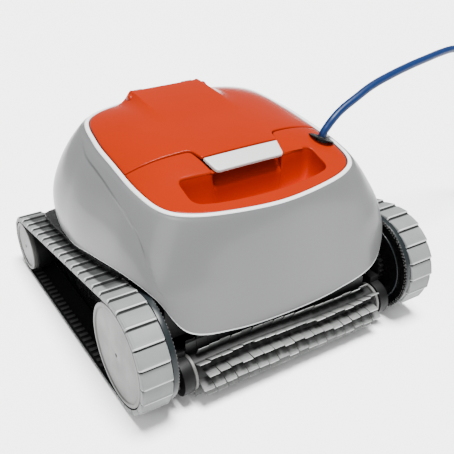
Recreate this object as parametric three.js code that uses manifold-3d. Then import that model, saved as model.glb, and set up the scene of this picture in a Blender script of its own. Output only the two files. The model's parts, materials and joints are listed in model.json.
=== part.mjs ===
// Tracked pool cleaner: a grey shell with an orange lid on a black chassis, two rubber tracks, a flap
// brush in front, a top loading filter basket, a pump, two drive motors and a floating cable.
// Millimetres, +Z up. X is the width, the brush is toward -Y, and z = 0 is the pool floor.
// The origin is on the floor under the middle of the machine, its cable left out.
import * as THREE from "three";
import { mergeVertices } from "three/addons/utils/BufferGeometryUtils.js";
import Module from "manifold-3d";

const wasm = await Module();
wasm.setup();

// ---- Driving dimensions ----------------------------------------------------------------------
const GAP = 0.3; // clearance between pieces that touch
const HALF_WIDTH = 195; // outer faces of the tracks
const TRACK_WIDTH = 34;
const FRONT_AXLE = { y: -138, z: 65 };
const REAR_AXLE = { y: 162, z: 41 };
const BELT = 3.4; // belt thickness without its pads
const PAD_HEIGHT = 3.2;
const PAD_COUNT = 44;
const PAD_SHARE = 0.72; // part of the pitch that a pad covers
const FRAME_X = { inner: 151.3, step: 153.9, outer: 159.6 };
const FLANGE = { inner: 52, outer: 62.5, x0: 154.3 }; // the front wheel's inboard toothed ring
const TUB_HALF = 142;
const TUB_WALL = 4;
const TUB_FLOOR = 14;
const SHELL_WALL = 3.5;
const RIM_DEPTH = 7; // how far the lid sits down into the shell
const LEDGE = { width: 7, thickness: 3.5 };
const LID_GAP = 1.2;
const LID_SHEET = 3;
const CROWN = 19;
const HINGE = { y: 117, z: 242, pin: 2, barrel: 4.5, limitX: 45 };
const LATCH = { y: -70, z: 220.75, pin: 1, tilt: THREE.MathUtils.degToRad(21) };
const POCKET_FLOOR = 171;
const BRUSH = { y: -166.5, z: 33, half: 124, core: 14, sleeve: 18, tip: 30, rows: 12, cap: 20, drum: 22 };
const GEAR = { module: 2.197, wheelTeeth: 24, brushTeeth: 15, pinionTeeth: 12, x0: 145, x1: 151 };
const PINION = { y: FRONT_AXLE.y + (GEAR.module * (GEAR.wheelTeeth + GEAR.pinionTeeth)) / 2, z: FRONT_AXLE.z };
const PUMP = { y: 72, radius: 31, top: 150 };
const DUCT = { inner: 31, outer: 34, bottom: 166, top: 222 };
const BASKET = { half: 104, y0: -46, y1: 35, z0: 18.4, z1: 190, wall: 3 };
const PORT = { x0: 20, x1: 92, y0: -14, y1: 4 };
const GLAND = { x: 115, y: -71, z: 213, radius: 14, neck: 8.6, top: 3, lean: THREE.MathUtils.degToRad(22) };
const CABLE_RADIUS = 5;
const COIL = { x: 590, y: -107, inner: 42, outer: 102, height: 62 };
const PLUG = { x: 600, y: -222, z: 12.3 }; // the middle of its cable end

const FRONT_RADIUS = FRONT_AXLE.z; // over the pads
const REAR_RADIUS = REAR_AXLE.z;
const TRACK_INNER = HALF_WIDTH - TRACK_WIDTH;
const TAU = Math.PI * 2;

// ---- Finishes --------------------------------------------------------------------------------
function finish(color, roughness, metalness = 0) {
  return () => new THREE.MeshStandardMaterial({ color, roughness, metalness });
}
const greyGloss = finish("#a9aaab", 0.25);
const orangeGloss = finish("#e8551a", 0.2);
const lightGrey = finish("#dededb", 0.35);
const warmGrey = finish("#a5a69e", 0.45);
const trackRubber = finish("#c4c8c6", 0.6);
const blackGloss = finish("#0d0e0f", 0.15);
const blackSatin = finish("#1b1c1d", 0.45);
const blackRubber = finish("#161616", 0.7);
const brushRubber = finish("#8d918f", 0.6);
const steel = finish("#9a9ca0", 0.3, 1);
const whitePlastic = finish("#d8d8d4", 0.5);
const meshFabric = finish("#3b4a5c", 0.8);
const foam = finish("#e3ddc8", 0.9);
const blueJacket = finish("#2c55a4", 0.4);

const cleaner = new THREE.Group();
cleaner.name = "pool_cleaner";

function add(name, geometry, material, parent = cleaner) {
  const mesh = new THREE.Mesh(geometry, material());
  mesh.name = name;
  parent.add(mesh);
  return mesh;
}

// ---- Solid tools -----------------------------------------------------------------------------
// Merges shared corners and drops triangles that a pole or a seam leaves without area.
function weld(geometry) {
  const bare = geometry.index ? geometry.toNonIndexed() : geometry.clone();
  for (const key of Object.keys(bare.attributes)) {
    if (key !== "position") bare.deleteAttribute(key);
  }
  const merged = mergeVertices(bare, 1e-4);
  const kept = [];
  const source = merged.index.array;
  for (let i = 0; i < source.length; i += 3) {
    const [a, b, c] = [source[i], source[i + 1], source[i + 2]];
    if (a !== b && b !== c && c !== a) kept.push(a, b, c);
  }
  merged.setIndex(kept);
  return merged;
}

function toSolid(geometry) {
  const welded = weld(geometry);
  const mesh = new wasm.Mesh({
    numProp: 3,
    vertProperties: new Float32Array(welded.attributes.position.array),
    triVerts: new Uint32Array(welded.index.array),
  });
  return new wasm.Manifold(mesh);
}

function toGeometry(solid) {
  const mesh = solid.getMesh();
  const geometry = new THREE.BufferGeometry();
  geometry.setAttribute("position", new THREE.BufferAttribute(new Float32Array(mesh.vertProperties), 3));
  geometry.setIndex(Array.from(mesh.triVerts));
  geometry.computeVertexNormals();
  return geometry;
}

function join(first, ...others) {
  return toGeometry(others.reduce((solid, other) => solid.add(toSolid(other)), toSolid(first)));
}

function cut(first, ...others) {
  return toGeometry(others.reduce((solid, other) => solid.subtract(toSolid(other)), toSolid(first)));
}

function common(first, second) {
  return toGeometry(toSolid(first).intersect(toSolid(second)));
}

// ---- Shape tools -----------------------------------------------------------------------------
function box(x0, x1, y0, y1, z0, z1) {
  const geometry = new THREE.BoxGeometry(x1 - x0, y1 - y0, z1 - z0);
  return geometry.translate((x0 + x1) / 2, (y0 + y1) / 2, (z0 + z1) / 2);
}

function polygon(points) {
  return new THREE.Shape(points.map(([a, b]) => new THREE.Vector2(a, b)));
}

// A plan outline (x, y) pulled up from z0 to z1.
function prism(outline, z0, z1) {
  const geometry = new THREE.ExtrudeGeometry(outline, { depth: z1 - z0, bevelEnabled: false, curveSegments: 6 });
  return geometry.translate(0, 0, z0);
}

// A side outline (y, z) pulled sideways from x0 to x1.
function sidePrism(outline, x0, x1) {
  const geometry = new THREE.ExtrudeGeometry(outline, { depth: x1 - x0, bevelEnabled: false, curveSegments: 6 });
  geometry.applyMatrix4(new THREE.Matrix4().set(0, 0, 1, x0, 1, 0, 0, 0, 0, 1, 0, 0, 0, 0, 0, 1));
  return geometry;
}

function cylinderX(radius, x0, x1, y, z, segments = 24) {
  const geometry = new THREE.CylinderGeometry(radius, radius, x1 - x0, segments);
  return geometry.rotateZ(-Math.PI / 2).translate((x0 + x1) / 2, y, z);
}

function cylinderZ(radius, z0, z1, x, y, segments = 28) {
  const geometry = new THREE.CylinderGeometry(radius, radius, z1 - z0, segments);
  return geometry.rotateX(Math.PI / 2).translate(x, y, (z0 + z1) / 2);
}

// Turns a closed [radius, height] profile, listed anticlockwise, about the Z axis.
function turned(profile, segments = 24) {
  const points = [...profile, profile[0]].map(([r, h]) => new THREE.Vector2(r, h));
  return new THREE.LatheGeometry(points, segments).rotateX(Math.PI / 2);
}

// The same, about an axis along X: heights run toward +X.
function turnedX(profile, y, z, segments = 28) {
  return turned(profile, segments).rotateY(Math.PI / 2).translate(0, y, z);
}

// The mirror image of a solid in the plane x = 0.
function mirrored(geometry) {
  const copy = weld(geometry);
  copy.scale(-1, 1, 1);
  const index = copy.index.array;
  const flipped = [];
  for (let i = 0; i < index.length; i += 3) flipped.push(index[i], index[i + 2], index[i + 1]);
  copy.setIndex(flipped);
  return copy;
}

// One piece on each side of the machine, built on the +X side.
function addPair(name, geometry, material, parents = [cleaner, cleaner]) {
  add(`${name}_left`, mirrored(geometry), material, parents[0]);
  add(`${name}_right`, geometry, material, parents[1]);
}

// Joins equal rings of points into one skin that closes on itself both ways.
function ringBody(rings) {
  const count = rings[0].length;
  const positions = rings.flat().flatMap((p) => [p.x, p.y, p.z]);
  const index = [];
  rings.forEach((_, r) => {
    const next = (r + 1) % rings.length;
    for (let k = 0; k < count; k += 1) {
      const [a, b] = [r * count + k, r * count + ((k + 1) % count)];
      const [c, d] = [next * count + ((k + 1) % count), next * count + k];
      index.push(a, b, c, a, c, d);
    }
  });
  const geometry = new THREE.BufferGeometry();
  geometry.setAttribute("position", new THREE.BufferAttribute(new Float32Array(positions), 3));
  geometry.setIndex(index);
  return geometry;
}

// A crowned sheet: its top is height(x, y) and it is as thick as stated, straight down.
function sheet(height, thickness, half, y0, y1, cells) {
  const positions = [];
  for (const drop of [0, thickness]) {
    for (let j = 0; j <= cells; j += 1) {
      for (let i = 0; i <= cells; i += 1) {
        const x = -half + (2 * half * i) / cells;
        const y = y0 + ((y1 - y0) * j) / cells;
        positions.push(x, y, height(x, y) - drop);
      }
    }
  }
  const side = cells + 1;
  const under = side * side;
  const index = [];
  const quad = (a, b, c, d) => index.push(a, b, c, a, c, d);
  for (let j = 0; j < cells; j += 1) {
    for (let i = 0; i < cells; i += 1) {
      const [a, b, c, d] = [j * side + i, j * side + i + 1, (j + 1) * side + i + 1, (j + 1) * side + i];
      quad(a, b, c, d);
      quad(d + under, c + under, b + under, a + under);
    }
  }
  for (let k = 0; k < cells; k += 1) {
    const [front, back] = [k, cells * side + k];
    const [left, right] = [k * side, k * side + cells];
    quad(front + under, front + 1 + under, front + 1, front);
    quad(back, back + 1, back + 1 + under, back + under);
    quad(left, left + side, left + side + under, left + under);
    quad(right + under, right + side + under, right + side, right);
  }
  const geometry = new THREE.BufferGeometry();
  geometry.setAttribute("position", new THREE.BufferAttribute(new Float32Array(positions), 3));
  geometry.setIndex(index);
  return geometry;
}

function smooth(value) {
  const t = Math.min(Math.max(value, 0), 1);
  return t * t * (3 - 2 * t);
}

// ---- Shell outline ---------------------------------------------------------------------------
// Half outlines from the front centre round the +X side to the rear centre, mirrored to close.
// RIM is the opening that the lid fills. LOW is the lower edge: it dips between the wheels in
// front, arches over the wheel, runs along above the track and dips again behind.
const RIM = [[0, -150], [55, -144], [98, -132], [121, -112], [129, -72], [129, -20], [126, 38], [112, 92],
  [66, 114], [0, 118]];
const LOW = [[0, -174, 66], [70, -173, 70], [126, -171, 87], [152, -151, 126], [166, -108, 136],
  [174, -38, 126], [176, 22, 114], [166, 84, 110], [122, 126, 104], [0, 136, 100]];
const RING_POINTS = 3 * (RIM.length * 2 - 2);
const SHELL_CENTRE_Y = -18;

function rimHeight(y) {
  return 216.1 + (y < -28 ? 0.15 : 0.115) * (y + 28);
}

function closedCurve(half) {
  const other = half.slice(1, -1).reverse().map(([x, y, z]) => [-x, y, z]);
  const points = [...half, ...other].map(([x, y, z]) => new THREE.Vector3(x, y, z));
  return new THREE.CatmullRomCurve3(points, true, "catmullrom", 0.5);
}
const rimCurve = closedCurve(RIM.map(([x, y]) => [x, y, rimHeight(y)]));
const lowCurve = closedCurve(LOW);

// Moves every point of a ring outward, square to the ring in plan.
function pushOut(ring, distance) {
  return ring.map((point, k) => {
    const before = ring[(k + ring.length - 1) % ring.length];
    const after = ring[(k + 1) % ring.length];
    const outward = new THREE.Vector3(after.y - before.y, before.x - after.x, 0).normalize();
    if (outward.x * point.x + outward.y * (point.y - SHELL_CENTRE_Y) < 0) outward.negate();
    return point.clone().addScaledVector(outward, distance(point));
  });
}

// The skin at a share of the way from the rim (0) to the lower edge (1), bulging most at the rear.
function shellRing(share, inset = 0) {
  const straight = Array.from({ length: RING_POINTS }, (_, k) =>
    rimCurve.getPoint(k / RING_POINTS).lerp(lowCurve.getPoint(k / RING_POINTS), share));
  const swell = Math.sin(Math.PI * share) ** 0.9;
  return pushOut(straight, (p) => (8 + 15 * smooth((p.y + 78) / 180)) * swell - inset);
}

function rimRing(inset, drop) {
  const ring = Array.from({ length: RING_POINTS }, (_, k) => rimCurve.getPoint(k / RING_POINTS));
  return pushOut(ring, () => -inset).map((p) => p.setZ(p.z - drop));
}

function hingeEar(x0, x1) {
  const leg = box(x0, x1, HINGE.y + 2.2, HINGE.y + 5.5, HINGE.z - 14, HINGE.z);
  const eye = cylinderX(HINGE.barrel, x0, x1, HINGE.y, HINGE.z, 16);
  const hole = cylinderX(HINGE.pin + GAP, x0 - 1, x1 + 1, HINGE.y, HINGE.z, 16);
  return cut(join(leg, eye), hole);
}

function outerShell() {
  const outer = [1, 0.85, 0.66, 0.45, 0.24, 0.08].map((share) => shellRing(share));
  const lip = [rimRing(0, 0), rimRing(0, RIM_DEPTH), rimRing(LEDGE.width, RIM_DEPTH),
    rimRing(LEDGE.width, RIM_DEPTH + LEDGE.thickness)];
  const inner = [0.2, 0.5, 0.8, 1].map((share) => shellRing(share, SHELL_WALL));
  const ears = [[29, 32.5], [40.5, 44]].flatMap(([a, b]) => [hingeEar(a, b), hingeEar(-b, -a)]);
  return join(ringBody([...outer, ...lip, ...inner]), ...ears);
}
add("outer_shell", outerShell(), greyGloss);

// ---- Lid: fixed front cover and hinged rear door -----------------------------------------------
// How far a point is from the middle of the lid: 0 there and 1 at the rim.
function lidDistance(x, y) {
  return (Math.abs(x / 129) ** 4 + Math.abs((y + 16) / 134) ** 4) ** 0.25;
}

function coverHeight(x, y) {
  const crown = CROWN * Math.max(1 - lidDistance(x, y) ** 3, 0);
  return rimHeight(y) + crown * smooth((y + 135) / 95) - 0.8;
}

// The door is crowned all over, and a hump for the water outlet rises toward the hinge.
function doorHeight(x, y) {
  const crown = CROWN * Math.max(1 - lidDistance(x, y) ** 3, 0);
  const hump = smooth((y - 5) / 102) * smooth((64 - Math.abs(x)) / 18) * smooth((112 - y) / 4.5);
  return rimHeight(y) + crown + (250 - rimHeight(y) - crown) * hump - 0.5;
}

function lidPlan() {
  return polygon(rimRing(LID_GAP, 0).map((p) => [p.x, p.y]));
}

const SEAM_SLOPE = 0.15;
function seamRegion(tongueHalf, rearY, tipHalf, tipY, farY) {
  const edge = rearY + SEAM_SLOPE * (200 - tongueHalf);
  return polygon([[-200, farY], [-200, edge], [-tongueHalf, rearY], [-tipHalf, tipY], [tipHalf, tipY],
    [tongueHalf, rearY], [200, edge], [200, farY]]);
}

// The recess for the fingers, wide in front and running back under the handle.
function pocketPlan(grow) {
  const shape = new THREE.Shape();
  const [wide, narrow, corner] = [88 + grow, 47.5 + grow, 16 + grow];
  const [front, middle, back] = [-126 - grow, -87 + grow, -73 + grow];
  shape.moveTo(-narrow, back);
  shape.lineTo(-narrow, middle);
  shape.lineTo(-wide, middle);
  shape.lineTo(-wide, front + corner);
  shape.quadraticCurveTo(-wide, front, -wide + corner, front);
  shape.lineTo(wide - corner, front);
  shape.quadraticCurveTo(wide, front, wide, front + corner);
  shape.lineTo(wide, middle);
  shape.lineTo(narrow, middle);
  shape.lineTo(narrow, back);
  return shape;
}

// Stands a piece made about the Z axis on the cover's sloping edge, where the cable comes out.
function leaning(geometry) {
  return geometry.rotateY(GLAND.lean).translate(GLAND.x, GLAND.y, GLAND.z);
}

function frontCover() {
  const region = prism(seamRegion(54.5, -52.6, 54.5, -52.6, -300), 100, 300);
  const skin = common(sheet(coverHeight, LID_SHEET, 132, -156, 0, 12), prism(lidPlan(), 100, 300));
  const bowl = common(sheet(coverHeight, 80, 100, -140, -60, 6), prism(pocketPlan(2.5), POCKET_FLOOR - 2.5, 300));
  const channel = prism(polygon([[-54.5, -50], [-47.5, -90], [47.5, -90], [54.5, -50]]), 209, 300);
  const glandHole = leaning(cylinderZ(GLAND.neck + GAP, -30, 30, 0, 0, 16));
  const glandSeat = leaning(cylinderZ(GLAND.radius + GAP, 0.3, 30, 0, 0, 20));
  return cut(join(common(skin, region), bowl), prism(pocketPlan(0), POCKET_FLOOR, 300), channel, glandHole, glandSeat);
}
add("front_cover", frontCover(), orangeGloss);

function doorKnuckle(x0, x1) {
  const arm = box(x0, x1, HINGE.y - 9.5, HINGE.y, HINGE.z - 2.5, HINGE.z + 2.5);
  return join(arm, cylinderX(HINGE.barrel, x0, x1, HINGE.y, HINGE.z, 16));
}

function topDoor() {
  const region = prism(seamRegion(53.5, -51.4, 49.5, -68.8, 300), 100, 300);
  const skin = common(sheet(doorHeight, LID_SHEET, 132, -72, 120, 14), prism(lidPlan(), 100, 300));
  const outlet = box(-26, 26, HINGE.y - 14, HINGE.y + 2, 235, 245);
  const ears = [[41.6, 46], [-46, -41.6]].map(([a, b]) => box(a, b, LATCH.y - 3, -58, 216, LATCH.z - LATCH.pin - GAP));
  const webs = [[41.6, 46], [-46, -41.6]].map(([a, b]) => box(a, b, -66, -58, 216, 226));
  const behindHump = box(-47, 47, HINGE.y - 5.5, HINGE.y + 10, 220, 260);
  const knuckles = [doorKnuckle(33.1, 39.9), doorKnuckle(-39.9, -33.1)];
  const pinHole = cylinderX(HINGE.pin + GAP, -50, 50, HINGE.y, HINGE.z, 16);
  const plate = cut(common(skin, region), behindHump);
  return cut(join(plate, ...ears, ...webs, ...knuckles), outlet, pinHole);
}

const door = new THREE.Group();
cleaner.add(door);
add("top_door", topDoor(), orangeGloss, door);
add("hinge_pin", cylinderX(HINGE.pin, -HINGE.limitX, HINGE.limitX, HINGE.y, HINGE.z, 16), steel, door);
add("latch_pin", cylinderX(LATCH.pin, -46, 46, LATCH.y, LATCH.z, 12), steel, door);

// Vertical bars in one frame, just in front of the outlet window.
function outletGrille() {
  const frame = cut(box(-29, 29, 98.5, 100.5, 232.5, 243.5), box(-26, 26, 90, 110, 234.5, 241.5));
  const bars = [-19.5, -13, -6.5, 0, 6.5, 13, 19.5].map((x) => box(x - 0.8, x + 0.8, 98.5, 100.5, 233, 243));
  return join(frame, ...bars);
}
add("outlet_grille", outletGrille(), blackSatin, door);

// The handle plate narrows toward the front, its front corners round, on a lug that holds the pin.
function latchHandle() {
  const plan = new THREE.Shape();
  plan.moveTo(-47, 1);
  plan.lineTo(-44, -17);
  plan.quadraticCurveTo(-43, -22, -38, -22);
  plan.lineTo(38, -22);
  plan.quadraticCurveTo(43, -22, 44, -17);
  plan.lineTo(47, 1);
  const lug = join(box(-40.5, 40.5, -3, 2, -2.5, 2.2), box(-40.5, 40.5, -3, 0.9, 2, 4));
  return cut(join(prism(plan, 3, 6), lug), cylinderX(LATCH.pin + GAP, -60, 60, 0, 0, 12));
}
const handle = add("latch_handle", latchHandle(), lightGrey, door);
handle.position.set(0, LATCH.y, LATCH.z);
handle.rotation.x = LATCH.tilt;

// ---- Chassis ---------------------------------------------------------------------------------
// Height of the top of the track's upper run, over the pads.
const RUN_SLOPE = Math.tan(2 * Math.asin((FRONT_RADIUS - REAR_RADIUS)
  / Math.hypot(REAR_AXLE.y - FRONT_AXLE.y, REAR_AXLE.z - FRONT_AXLE.z)));
const RUN_START = FRONT_RADIUS + FRONT_AXLE.z / Math.cos(Math.atan(RUN_SLOPE));
function runHeight(y) {
  return RUN_START - RUN_SLOPE * (y - FRONT_AXLE.y);
}

function chassisTub() {
  const step = BRUSH.z + BRUSH.tip + 5;
  const lip = (y) => runHeight(y) + 2;
  const outer = polygon([[-130, TUB_FLOOR], [150, TUB_FLOOR], [150, lip(150)], [-148, lip(-148)], [-148, step],
    [-130, step]]);
  const hollow = polygon([[-126, TUB_FLOOR + TUB_WALL], [146, TUB_FLOOR + TUB_WALL], [146, 200], [-144, 200],
    [-144, step + TUB_WALL], [-126, step + TUB_WALL]]);
  const inside = TUB_HALF - TUB_WALL;
  const ports = [box(PORT.x0, PORT.x1, PORT.y0, PORT.y1, 0, 30), box(-PORT.x1, -PORT.x0, PORT.y0, PORT.y1, 0, 30)];
  const shaftHole = cylinderX(6, -200, 200, PINION.y, PINION.z, 16);
  const screwHoles = screwPlaces().map(([x, y]) => cylinderZ(2.4, 0, 30, x, y, 10));
  return cut(sidePrism(outer, -TUB_HALF, TUB_HALF), sidePrism(hollow, -inside, inside), ...ports, shaftHole,
    ...screwHoles);
}

function screwPlaces() {
  return [[-110, -100], [110, -100], [-110, 120], [110, 120]];
}
add("chassis_tub", chassisTub(), blackSatin);

// The glossy flange under the shell's edge, bulging out over the inner part of each track.
function deckFlange() {
  const half = [[0, -146], [100, -146], [132, -141], [150, -128], [161, -112], [168, -85], [172, -45],
    [175.5, 12], [174.5, 60], [172.5, 112], [162, 146], [100, 153], [0, 153]];
  const plan = closedCurve(half.map(([x, y]) => [x, y, 0])).getPoints(72).slice(0, -1);
  const strip = polygon([[-170, runHeight(-170) + 2.4], [170, runHeight(170) + 2.4], [170, runHeight(170) + 8.5],
    [-170, runHeight(-170) + 8.5]]);
  const solid = common(prism(polygon(plan.map((p) => [p.x, p.y])), 0, 300), sidePrism(strip, -200, 200));
  const inside = TUB_HALF - TUB_WALL;
  return cut(solid, box(-inside, inside, -132, 128, 0, 300));
}
add("deck_flange", deckFlange(), blackGloss);

function bottomPlate() {
  const outline = new THREE.Shape();
  outline.moveTo(-124, -118);
  outline.lineTo(124, -118);
  outline.lineTo(124, 128);
  outline.quadraticCurveTo(124, 138, 114, 138);
  outline.lineTo(-114, 138);
  outline.quadraticCurveTo(-124, 138, -124, 128);
  const ports = [box(PORT.x0, PORT.x1, PORT.y0, PORT.y1, 0, 30), box(-PORT.x1, -PORT.x0, PORT.y0, PORT.y1, 0, 30)];
  const screwHoles = screwPlaces().map(([x, y]) => cylinderZ(2.4, 0, 30, x, y, 10));
  return cut(prism(outline, 9.7, TUB_FLOOR - GAP), ...ports, ...screwHoles);
}
add("bottom_plate", bottomPlate(), blackSatin);

screwPlaces().forEach(([x, y], k) => {
  const screw = turned([[0, 6.9], [4, 6.9], [4, 9.4], [2, 9.4], [2, 17.5], [0, 17.5]], 12).translate(x, y, 0);
  add(`bottom_screw_${k + 1}`, screw, steel);
});

// ---- Tracks ----------------------------------------------------------------------------------
// Points and outward directions round the loop, its surface at an offset from the pads' tops.
const TURN = Math.atan(RUN_SLOPE); // how far the upper run tilts
function trackLoop(offset, frontOffset = offset) {
  const arcs = [
    { centre: FRONT_AXLE, radius: FRONT_RADIUS + frontOffset, from: Math.PI / 2 - TURN, sweep: Math.PI + TURN },
    { centre: REAR_AXLE, radius: REAR_RADIUS + offset, from: -Math.PI / 2, sweep: Math.PI - TURN },
  ];
  const place = ({ centre, radius }, angle) => [centre.y + radius * Math.cos(angle), centre.z + radius * Math.sin(angle)];
  const runs = arcs.map((arc, k) => {
    const other = arcs[1 - k];
    const start = place(arc, arc.from + arc.sweep);
    const end = place(other, other.from);
    return { start, end, angle: arc.from + arc.sweep, length: Math.hypot(end[0] - start[0], end[1] - start[1]) };
  });
  const lengths = arcs.flatMap((arc, k) => [arc.radius * arc.sweep, runs[k].length]);
  const total = lengths.reduce((sum, value) => sum + value, 0);
  // The point a given share of the way round, from the top of the front wheel forward.
  const at = (share) => {
    let left = (((share % 1) + 1) % 1) * total;
    let piece = 0;
    while (left > lengths[piece] && piece < 3) {
      left -= lengths[piece];
      piece += 1;
    }
    const arc = arcs[piece >> 1];
    const run = runs[piece >> 1];
    const part = left / lengths[piece];
    const angle = piece % 2 === 0 ? arc.from + arc.sweep * part : run.angle;
    const point = piece % 2 === 0 ? place(arc, angle)
      : [run.start[0] + (run.end[0] - run.start[0]) * part, run.start[1] + (run.end[1] - run.start[1]) * part];
    return { point, out: [Math.cos(angle), Math.sin(angle)] };
  };
  return { at, total };
}

function track() {
  const base = trackLoop(-PAD_HEIGHT);
  const inside = trackLoop(-PAD_HEIGHT - BELT);
  const outline = [];
  for (let k = 0; k < PAD_COUNT; k += 1) {
    const foot = [k - PAD_SHARE / 2, k + PAD_SHARE / 2].map((s) => base.at(s / PAD_COUNT));
    const [first, last] = foot.map(({ point }) => point);
    const top = foot.map(({ point, out }) => [point[0] + out[0] * PAD_HEIGHT, point[1] + out[1] * PAD_HEIGHT]);
    outline.push(first, top[0], top[1], last);
  }
  const hole = Array.from({ length: PAD_COUNT * 2 }, (_, k) => inside.at(k / (PAD_COUNT * 2)).point);
  const shape = polygon(outline);
  shape.holes.push(new THREE.Path(hole.map(([y, z]) => new THREE.Vector2(y, z))));
  return sidePrism(shape, TRACK_INNER, HALF_WIDTH);
}
addPair("track", track(), trackRubber);

// ---- Side frames and their bearings ----------------------------------------------------------
// A thin bearing plate that leaves the front wheel's flange in view, and a thick part behind the flange.
function sideFrame() {
  const outline = (loop) => polygon(Array.from({ length: 36 }, (_, k) => loop.at(k / 36).point));
  const plate = sidePrism(outline(trackLoop(-3, FLANGE.inner - 1 - FRONT_RADIUS)), FRAME_X.inner, FRAME_X.step);
  const flangeRoom = cylinderX(FLANGE.outer + 1, FRAME_X.step, 200, FRONT_AXLE.y, FRONT_AXLE.z, 36);
  const infill = cut(sidePrism(outline(trackLoop(-3)), FRAME_X.step - 0.1, FRAME_X.outer), flangeRoom);
  const posts = [[-52, 24], [105, 24], [-52, 96], [95, 72]].map(([y, z]) =>
    cylinderX(6, TUB_HALF + GAP, FRAME_X.step, y, z, 12));
  const holes = [cylinderX(10.3, 100, 200, FRONT_AXLE.y, FRONT_AXLE.z, 20),
    cylinderX(5 + GAP, 100, 200, REAR_AXLE.y, REAR_AXLE.z, 16)];
  return cut(join(plate, infill, ...posts), ...holes);
}
addPair("side_frame", sideFrame(), blackGloss);

const frontBush = turnedX([[6.3, 151.3], [10, 151.3], [10, 154.2], [12, 154.2], [12, 156], [6.3, 156]],
  FRONT_AXLE.y, FRONT_AXLE.z, 20);
addPair("front_bush", frontBush, whitePlastic);
add("rear_axle", cylinderX(5, -187, 187, REAR_AXLE.y, REAR_AXLE.z, 16), steel);

// ---- Wheels ----------------------------------------------------------------------------------
// A pulley with a deep rim on its outer side, turning inside the track.
function pulley(radius, bore, flange = []) {
  const [back, web, face] = [TRACK_INNER + 1, TRACK_INNER + 6, 189];
  return [[bore, back], ...flange, [radius, back], [radius, face], [radius - 5, face], [radius - 5, web],
    [bore + 7, web], [bore + 7, face - 1], [bore, face - 1]];
}
const frontFlange = [[FLANGE.inner, TRACK_INNER + 1], [FLANGE.inner, FLANGE.x0], [FLANGE.outer, FLANGE.x0],
  [FLANGE.outer, TRACK_INNER - 0.6], [FLANGE.inner + 4, TRACK_INNER - 0.6], [FLANGE.inner + 4, TRACK_INNER + 1]];

// The dished cover of a wheel: a raised ring round a shallow field.
function discProfile(radius) {
  const [back, face] = [189.3, HALF_WIDTH];
  return [[0, back], [radius, back], [radius, face - 1.5], [radius - 1.5, face], [radius - 5, face],
    [radius - 6.5, face - 1.6], [0, face - 1.6]];
}

function gearShape(teeth, bore) {
  const pitchRadius = (GEAR.module * teeth) / 2;
  const [tip, root] = [pitchRadius + 0.4 * GEAR.module, pitchRadius - 0.8 * GEAR.module];
  const points = [];
  for (let k = 0; k < teeth; k += 1) {
    for (const [share, radius] of [[-0.27, root], [-0.12, tip], [0.12, tip], [0.27, root]]) {
      const angle = ((k + share) / teeth) * TAU;
      points.push(new THREE.Vector2(radius * Math.cos(angle), radius * Math.sin(angle)));
    }
  }
  const shape = new THREE.Shape(points);
  shape.holes.push(new THREE.Path().absarc(0, 0, bore, 0, TAU));
  return shape;
}

// A gear about an X axis, turned so that its first tooth lies at the given angle in the YZ plane.
function gear(teeth, bore, y, z, firstTooth) {
  const solid = new THREE.ExtrudeGeometry(gearShape(teeth, bore),
    { depth: GEAR.x1 - GEAR.x0, bevelEnabled: false, curveSegments: 8 });
  solid.rotateZ(firstTooth);
  solid.applyMatrix4(new THREE.Matrix4().set(0, 0, 1, GEAR.x0, 1, 0, 0, 0, 0, 1, 0, 0, 0, 0, 0, 1));
  return solid.translate(0, y, z);
}

const frontWheels = [new THREE.Group(), new THREE.Group()];
const rearWheels = [new THREE.Group(), new THREE.Group()];
cleaner.add(...frontWheels, ...rearWheels);

const frontInside = FRONT_RADIUS - PAD_HEIGHT - BELT - 0.4;
const rearInside = REAR_RADIUS - PAD_HEIGHT - BELT - 0.4;
addPair("front_wheel", turnedX(pulley(frontInside, 6.3, frontFlange), FRONT_AXLE.y, FRONT_AXLE.z, 26), blackSatin, frontWheels);
addPair("front_disc", turnedX(discProfile(frontInside), FRONT_AXLE.y, FRONT_AXLE.z, 26), warmGrey, frontWheels);
addPair("rear_wheel", turnedX(pulley(rearInside, 5.3), REAR_AXLE.y, REAR_AXLE.z, 20), blackSatin, rearWheels);
addPair("rear_disc", turnedX(discProfile(rearInside), REAR_AXLE.y, REAR_AXLE.z, 20), warmGrey, rearWheels);
addPair("drive_shaft", cylinderX(6, 143.5, 187.6, FRONT_AXLE.y, FRONT_AXLE.z, 16), steel, frontWheels);

// The brush gear and the pinion each reach into a gap between two teeth of the wheel's gear.
const brushAngle = Math.atan2(BRUSH.z - FRONT_AXLE.z, BRUSH.y - FRONT_AXLE.y);
const halfTooth = (teeth) => Math.PI / teeth;
addPair("drive_gear", gear(GEAR.wheelTeeth, 6.3, FRONT_AXLE.y, FRONT_AXLE.z, 0), blackSatin, frontWheels);
// Where the wheel's gear stands, in teeth, along the line to the brush.
const toothPhase = (brushAngle / TAU) * GEAR.wheelTeeth;
const brushFirst = brushAngle + Math.PI + ((toothPhase - Math.floor(toothPhase)) / GEAR.brushTeeth) * TAU
  + halfTooth(GEAR.brushTeeth);
const pinionGroups = [new THREE.Group(), new THREE.Group()];
cleaner.add(...pinionGroups);
const pinionShaft = cylinderX(4, TUB_HALF - 14, GEAR.x1, PINION.y, PINION.z, 16);
const pinionGear = gear(GEAR.pinionTeeth, 3, PINION.y, PINION.z, Math.PI + halfTooth(GEAR.pinionTeeth));
addPair("drive_pinion", join(pinionShaft, pinionGear), steel, pinionGroups);

const motor = join(cylinderX(20, 16, 124, PINION.y, PINION.z, 24), box(16, 118, PINION.y - 16, PINION.y + 16, 18.4, 60),
  cylinderX(10, 120, 126.5, PINION.y, PINION.z, 16));
addPair("drive_motor", motor, blackRubber);

// ---- Brush -----------------------------------------------------------------------------------
const brush = new THREE.Group();
cleaner.add(brush);

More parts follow.
